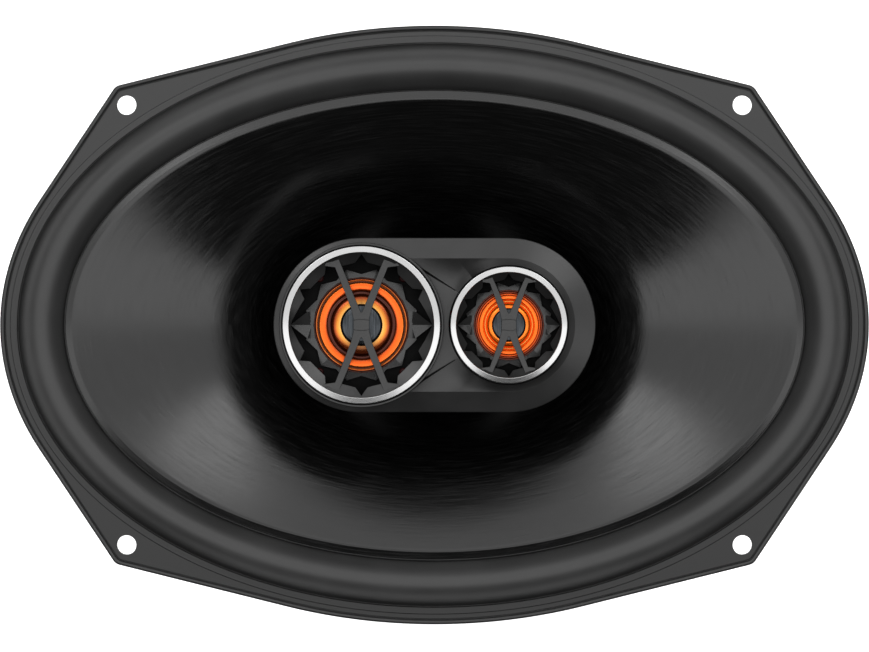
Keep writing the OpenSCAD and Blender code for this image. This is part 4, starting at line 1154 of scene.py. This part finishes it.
def star_ring(shell, x, dome_r, outer, tip, valley):
    """Twelve-pointed star round the dome, sloping down outwards, and a faceted gem at each end."""
    turn = np.radians(15.0 * np.arange(24))
    reach = np.where(np.arange(24) % 2 == 1, tip, valley)
    near = dome_r + 0.5
    rows = [(near, PLATE_FACE), (reach, PLATE_FACE), (reach, 1.85), (near, 2.3)]
    shell.grid(raised((round_from(x, r, turn), z) for r, z in rows), wrap_u=True, wrap_v=True)
    s = outer / LARGE_OUTER
    for way in (1, -1):
        ring = np.array([(outer - 0.4, 0, 2.0), (14.6 * s, 3.6 * s, 3.3), (13.4 * s, 0, 1.6),
                         (14.6 * s, -3.6 * s, 3.3)])
        ring[:, 0] = x + way * ring[:, 0]
        floor = ring.copy()
        floor[:, 2] = PLATE_FACE
        middle = np.array([[x + way * 15.9 * s, 0, 1.9]])
        shell.cap(shell.grid(np.stack([middle.repeat(4, 0), ring, floor]), wrap_v=True)[-1])


def tweeter(size, x, outer, width, dome_r, plug_r, hub, notch, tip, valley, top, film, edge_film):
    """One tweeter from its chrome ring inwards: guard, star, dull plate, screws, plug, dome, edge."""
    high = corners(size + "_bezel")[1][2]
    shell = Shell().turned(
        [(outer, -2), (outer + width, -2), (outer + width, high - 0.44), (outer + 0.1, high),
         (outer, high - 0.15)], [0, 0, 0.3, 0.12, 0.1], x, steps=192, closed=True)
    piece(size + "_chrome_ring", shell, "frame", size + "_bezel", CHROME, crisp=40)

    shell = Shell()
    guard(shell, x, outer - 0.01, top, hub, notch)
    piece(size + "_x_guard", shell, "frame", size + "_grille",
          grille_skin(size + "_guard_skin", x, hub), crisp=12)

    shell = Shell()
    star_ring(shell, x, dome_r, outer, tip, valley)
    piece(size + "_star", shell, "frame", size + "_star_plate", STAR, crisp=5)
    bore, rim = dome_r + 0.4, outer - 0.02
    shell = Shell().turned([(bore, 0), (rim, 0), (rim, 1), (bore, 1)], 0, x, steps=128, closed=True)
    piece(size + "_dull_plate", shell, "frame", size + "_star_plate", FLOCK)
    if size == "large":
        shell = Shell()
        for i, j in ((-1, -1), (-1, 1), (1, -1), (1, 1)):
            shell.turned([(0, 1.35), (0.35, 1.35), (0.5, 1.6), (0.8, 1.6), (1.1, 1.02), (0, 0.98)],
                         [0, 0, 0, 0.15, 0.05, 0], x + i * 11.3, j * 12.7, 24)
        piece("large_plate_screws", shell, "frame", "large_screws", SCREW)

    low, high = (corner[2] for corner in corners(size + "_phase_plug"))
    h, r = high - low, plug_r
    shell = Shell().turned([(0, low), (r - 0.4, low), (r, low + 0.25 * h), (r, low + 0.45 * h),
                            (r - 0.5, low + 0.8 * h), (r - 1.6, high - 0.03), (0, high)],
                           [0, 0.1, 0.1, 0.3, 0.6, 1.2, 0], x)
    piece(size + "_centre_plug", shell, "frame", size + "_phase_plug",
          turned_plug(size + "_plug_metal"))

    r = dome_r - 1.05
    q = plug_r / r
    share = curve([(0, 1.75), (q * 0.5, 1.8), (q, 1.6), (q + (1 - q) * 0.3, 1.15),
                   (q + (1 - q) * 0.48, 0.4), (q + (1 - q) * 0.58, 0.36), (q + (1 - q) * 0.68, 0.68),
                   (q + (1 - q) * 0.8, 0.82), (q + (1 - q) * 0.95, 0.8), (1, 0.6)], 5)
    top_side = share * np.array([r, 1])
    under = (top_side - np.array([0, 0.15]))[::-1]
    shell = Shell().turned(np.vstack([top_side, under]), 0, x, steps=120)
    body = size + "_dome"
    piece(size + "_orange_dome", shell, body, size + "_diaphragm", film, crisp=60)

    r = dome_r
    crest = [(r - 0.2 - 0.32 * math.cos(t), 0.02 + 0.26 * math.sin(t))
             for t in np.linspace(math.pi, 0, 9)]
    loop = [(r - 1.2, -0.12), (r - 0.85, -0.14), (r - 0.45, -0.3), (r + 1.2, -0.3), (r + 1.2, 0),
            (r + 0.2, 0.02)] + crest + [(r - 0.6, 0.05), (r - 0.72, 0.1), (r - 0.85, 0.05),
                                        (r - 1.2, 0.03)]
    shell = Shell().turned(loop, 0, x, steps=120, closed=True)
    piece(size + "_dome_edge", shell,
          ("frame", body, lambda p: (r - 0.25 - np.hypot(p[:, 0] - x, p[:, 1])) / 0.6),
          size + "_surround", edge_film, crisp=60)


# ------------------------------------------------------------------ everything in its place
# ORANGE is the films' own colour; the second colour is painted shade, a dark red for the large dome's valley
# and the groove inside the large dome's edge
ORANGE, PAINTED_SHADE_RED = (0.85, 0.11, 0.004, 1), (0.03, 0.004, 0.001, 1)
# large dome: the yellow at 0.5 to 0.56 next to the plug is a painted highlight, and the dark bands from 0.63
# to 0.84 are painted shade in the dome's valley; from 0.87 out it is the film's own orange
LARGE_FILM = dome_film("large_dome_film", LARGE_X, 11.45, [
    (0.0, (0.3, 0.2, 0.08, 1)), (0.5, (0.8, 0.42, 0.1, 1)), (0.56, (0.75, 0.27, 0.03, 1)),
    (0.63, (0.32, 0.05, 0.004, 1)), (0.7, PAINTED_SHADE_RED), (0.8, PAINTED_SHADE_RED), (0.84, (0.4, 0.05, 0.003, 1)),
    (0.87, ORANGE), (0.97, ORANGE), (1.0, (0.8, 0.3, 0.04, 1))], 0.6)
# small dome: the yellow band at 0.78 is a painted highlight and the dark band at 0.82 is painted shade in
# the dome's valley; the rest is the film's own orange
SMALL_FILM = dome_film("small_dome_film", SMALL_X, 8.05, [
    (0.0, (0.3, 0.2, 0.08, 1)), (0.56, (1.0, 0.2, 0.01, 1)), (0.74, (1.0, 0.17, 0.006, 1)),
    (0.78, (1.0, 0.42, 0.07, 1)), (0.82, (0.5, 0.06, 0.002, 1)), (0.86, (1.0, 0.17, 0.006, 1)),
    (1.0, (0.8, 0.1, 0.004, 1))])
# large edge: the dark band at 0.925 to 0.95 is painted shade in the groove between dome and roll, and the
# bright band at 0.962 a painted highlight on the roll; from 0.98 out it darkens to near-black
LARGE_EDGE = dome_film("large_edge_film", LARGE_X, 12.5, [
    (0.0, ORANGE), (0.925, PAINTED_SHADE_RED), (0.95, PAINTED_SHADE_RED), (0.962, (0.75, 0.28, 0.04, 1)),
    (0.98, (0.4, 0.06, 0.005, 1)), (0.99, (0.02, 0.004, 0.002, 1)), (1.0, (0.01, 0.002, 0.001, 1))])
SMALL_EDGE = dome_film("small_edge_film", SMALL_X, 9.1, [
    (0.0, ORANGE), (0.9, ORANGE), (0.94, (0.3, 0.04, 0.006, 1)), (1.0, (0.06, 0.01, 0.004, 1))])

basket()
gasket()
trim_ring()
surround()
cone()
spider()
former_and_leads()
motor()
terminals()
tweeter_wires()
pod()
tweeter("large", LARGE_X, outer=LARGE_OUTER, width=1.75, dome_r=12.5, plug_r=5.7, hub=2.15, notch=3.1,
        tip=15.5, valley=13.75, top=6.6, film=LARGE_FILM, edge_film=LARGE_EDGE)
tweeter("small", SMALL_X, outer=14.25, width=1.6, dome_r=9.1, plug_r=4.6, hub=2.0, notch=2.85,
        tip=11.9, valley=10.3, top=5.8, film=SMALL_FILM, edge_film=SMALL_EDGE)

# CAD nodes that are shown as they are, by their finish
KEPT = {
    COPPER: ("voice_coil", "large_voice_coil", "small_voice_coil"),
    SOLDER: ("lead_pads",),
    FERRITE: ("ferrite_magnet",),
    ZINC: ("yoke", "post_washer", "post_nut", "large_magnet_cup", "small_magnet_cup",
           "large_pole_disc", "small_pole_disc"),
    NICKEL: ("large_magnet", "small_magnet"),
}
for finish, names in KEPT.items():
    for name in names:
        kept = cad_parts[name]
        if not kept.material_slots:
            kept.data.materials.append(finish)
        for face_slot in kept.material_slots:
            face_slot.material = finish


# ------------------------------------------------------------------ studio
def softbox(name, place, aim, size, power):
    """White rectangular light at place, turned towards aim, hidden from the camera."""
    lamp = bpy.data.lights.new(name, "AREA")
    lamp.shape, lamp.size, lamp.size_y, lamp.energy = "RECTANGLE", size[0], size[1], power
    holder = stand(name, lamp)
    ahead = np.array(aim, float) - np.array(place, float)
    holder.location = place
    holder.rotation_euler = Vector(ahead).to_track_quat("-Z", "Y").to_euler()
    holder.visible_camera = False


def studio():
    """Near-white floor under the boot, six soft lights, an even sky and the camera overhead. The sky is
    bright where the camera sees it and dim where it lights the speaker."""
    floor_mesh = bpy.data.meshes.new("floor")
    span, drop = 6.0, float(BOOT_LOW[2]) * MM - 0.0004
    floor_mesh.from_pydata([(-span, -span, drop), (span, -span, drop), (span, span, drop),
                            (-span, span, drop)], [], [(0, 1, 2, 3)])
    paint = Finish("studio_floor")
    tone = paint.noise(paint.place(), 0.004, 2.0)
    floor_mesh.materials.append(paint.shade(
        paint.mix(tone, grey(0.86), grey(0.88)), 0.7 + (tone - 0.5) * 0.05,
        Emission_Color=(1, 1, 1, 1), Emission_Strength=0.85))
    floor = stand("floor", floor_mesh)

    for name, x, y, size, power in (("near_half", 0, -0.275, (2.8, 0.55), 10.6),
                                    ("far_half", 0, 0.31, (2.8, 0.62), 7.4),
                                    ("far_middle", 0, 0.86, (0.84, 0.48), 2.3),
                                    ("far_corner", -0.81, 0.9, (0.78, 0.55), 5.7),
                                    ("far_corner", 0.81, 0.9, (0.78, 0.55), 5.7)):
        softbox(name, (x, y, 1.0), (x, y, 0), size, power)
    softbox("far_side", (0, 1.35, 0.95), (0, 0, 0), (2.2, 0.35), 3.9)
    world = bpy.data.worlds.new("even_sky")
    world.use_nodes = True
    back, ray = world.node_tree.nodes["Background"], world.node_tree.nodes.new("ShaderNodeLightPath")
    seen = world.node_tree.nodes.new("ShaderNodeMapRange")
    seen.inputs["To Min"].default_value, seen.inputs["To Max"].default_value = 0.05, 0.95
    world.node_tree.links.new(ray.outputs["Is Camera Ray"], seen.inputs["Value"])
    world.node_tree.links.new(seen.outputs["Result"], back.inputs["Strength"])
    back.inputs["Color"].default_value = (1, 1, 1, 1)
    bpy.context.scene.world = world

    lens = bpy.data.cameras.new("camera")
    height, across = 2.2, 0.23498
    lens.sensor_width = 36
    lens.lens = 36 * (height - float(RIM_TOP) * MM) / across
    lens.clip_end = 50
    eye = stand("camera", lens)
    eye.location = (0.0, -0.00027, height)
    bpy.context.scene.camera = eye
    bpy.context.scene.view_settings.view_transform = "Standard"


studio()
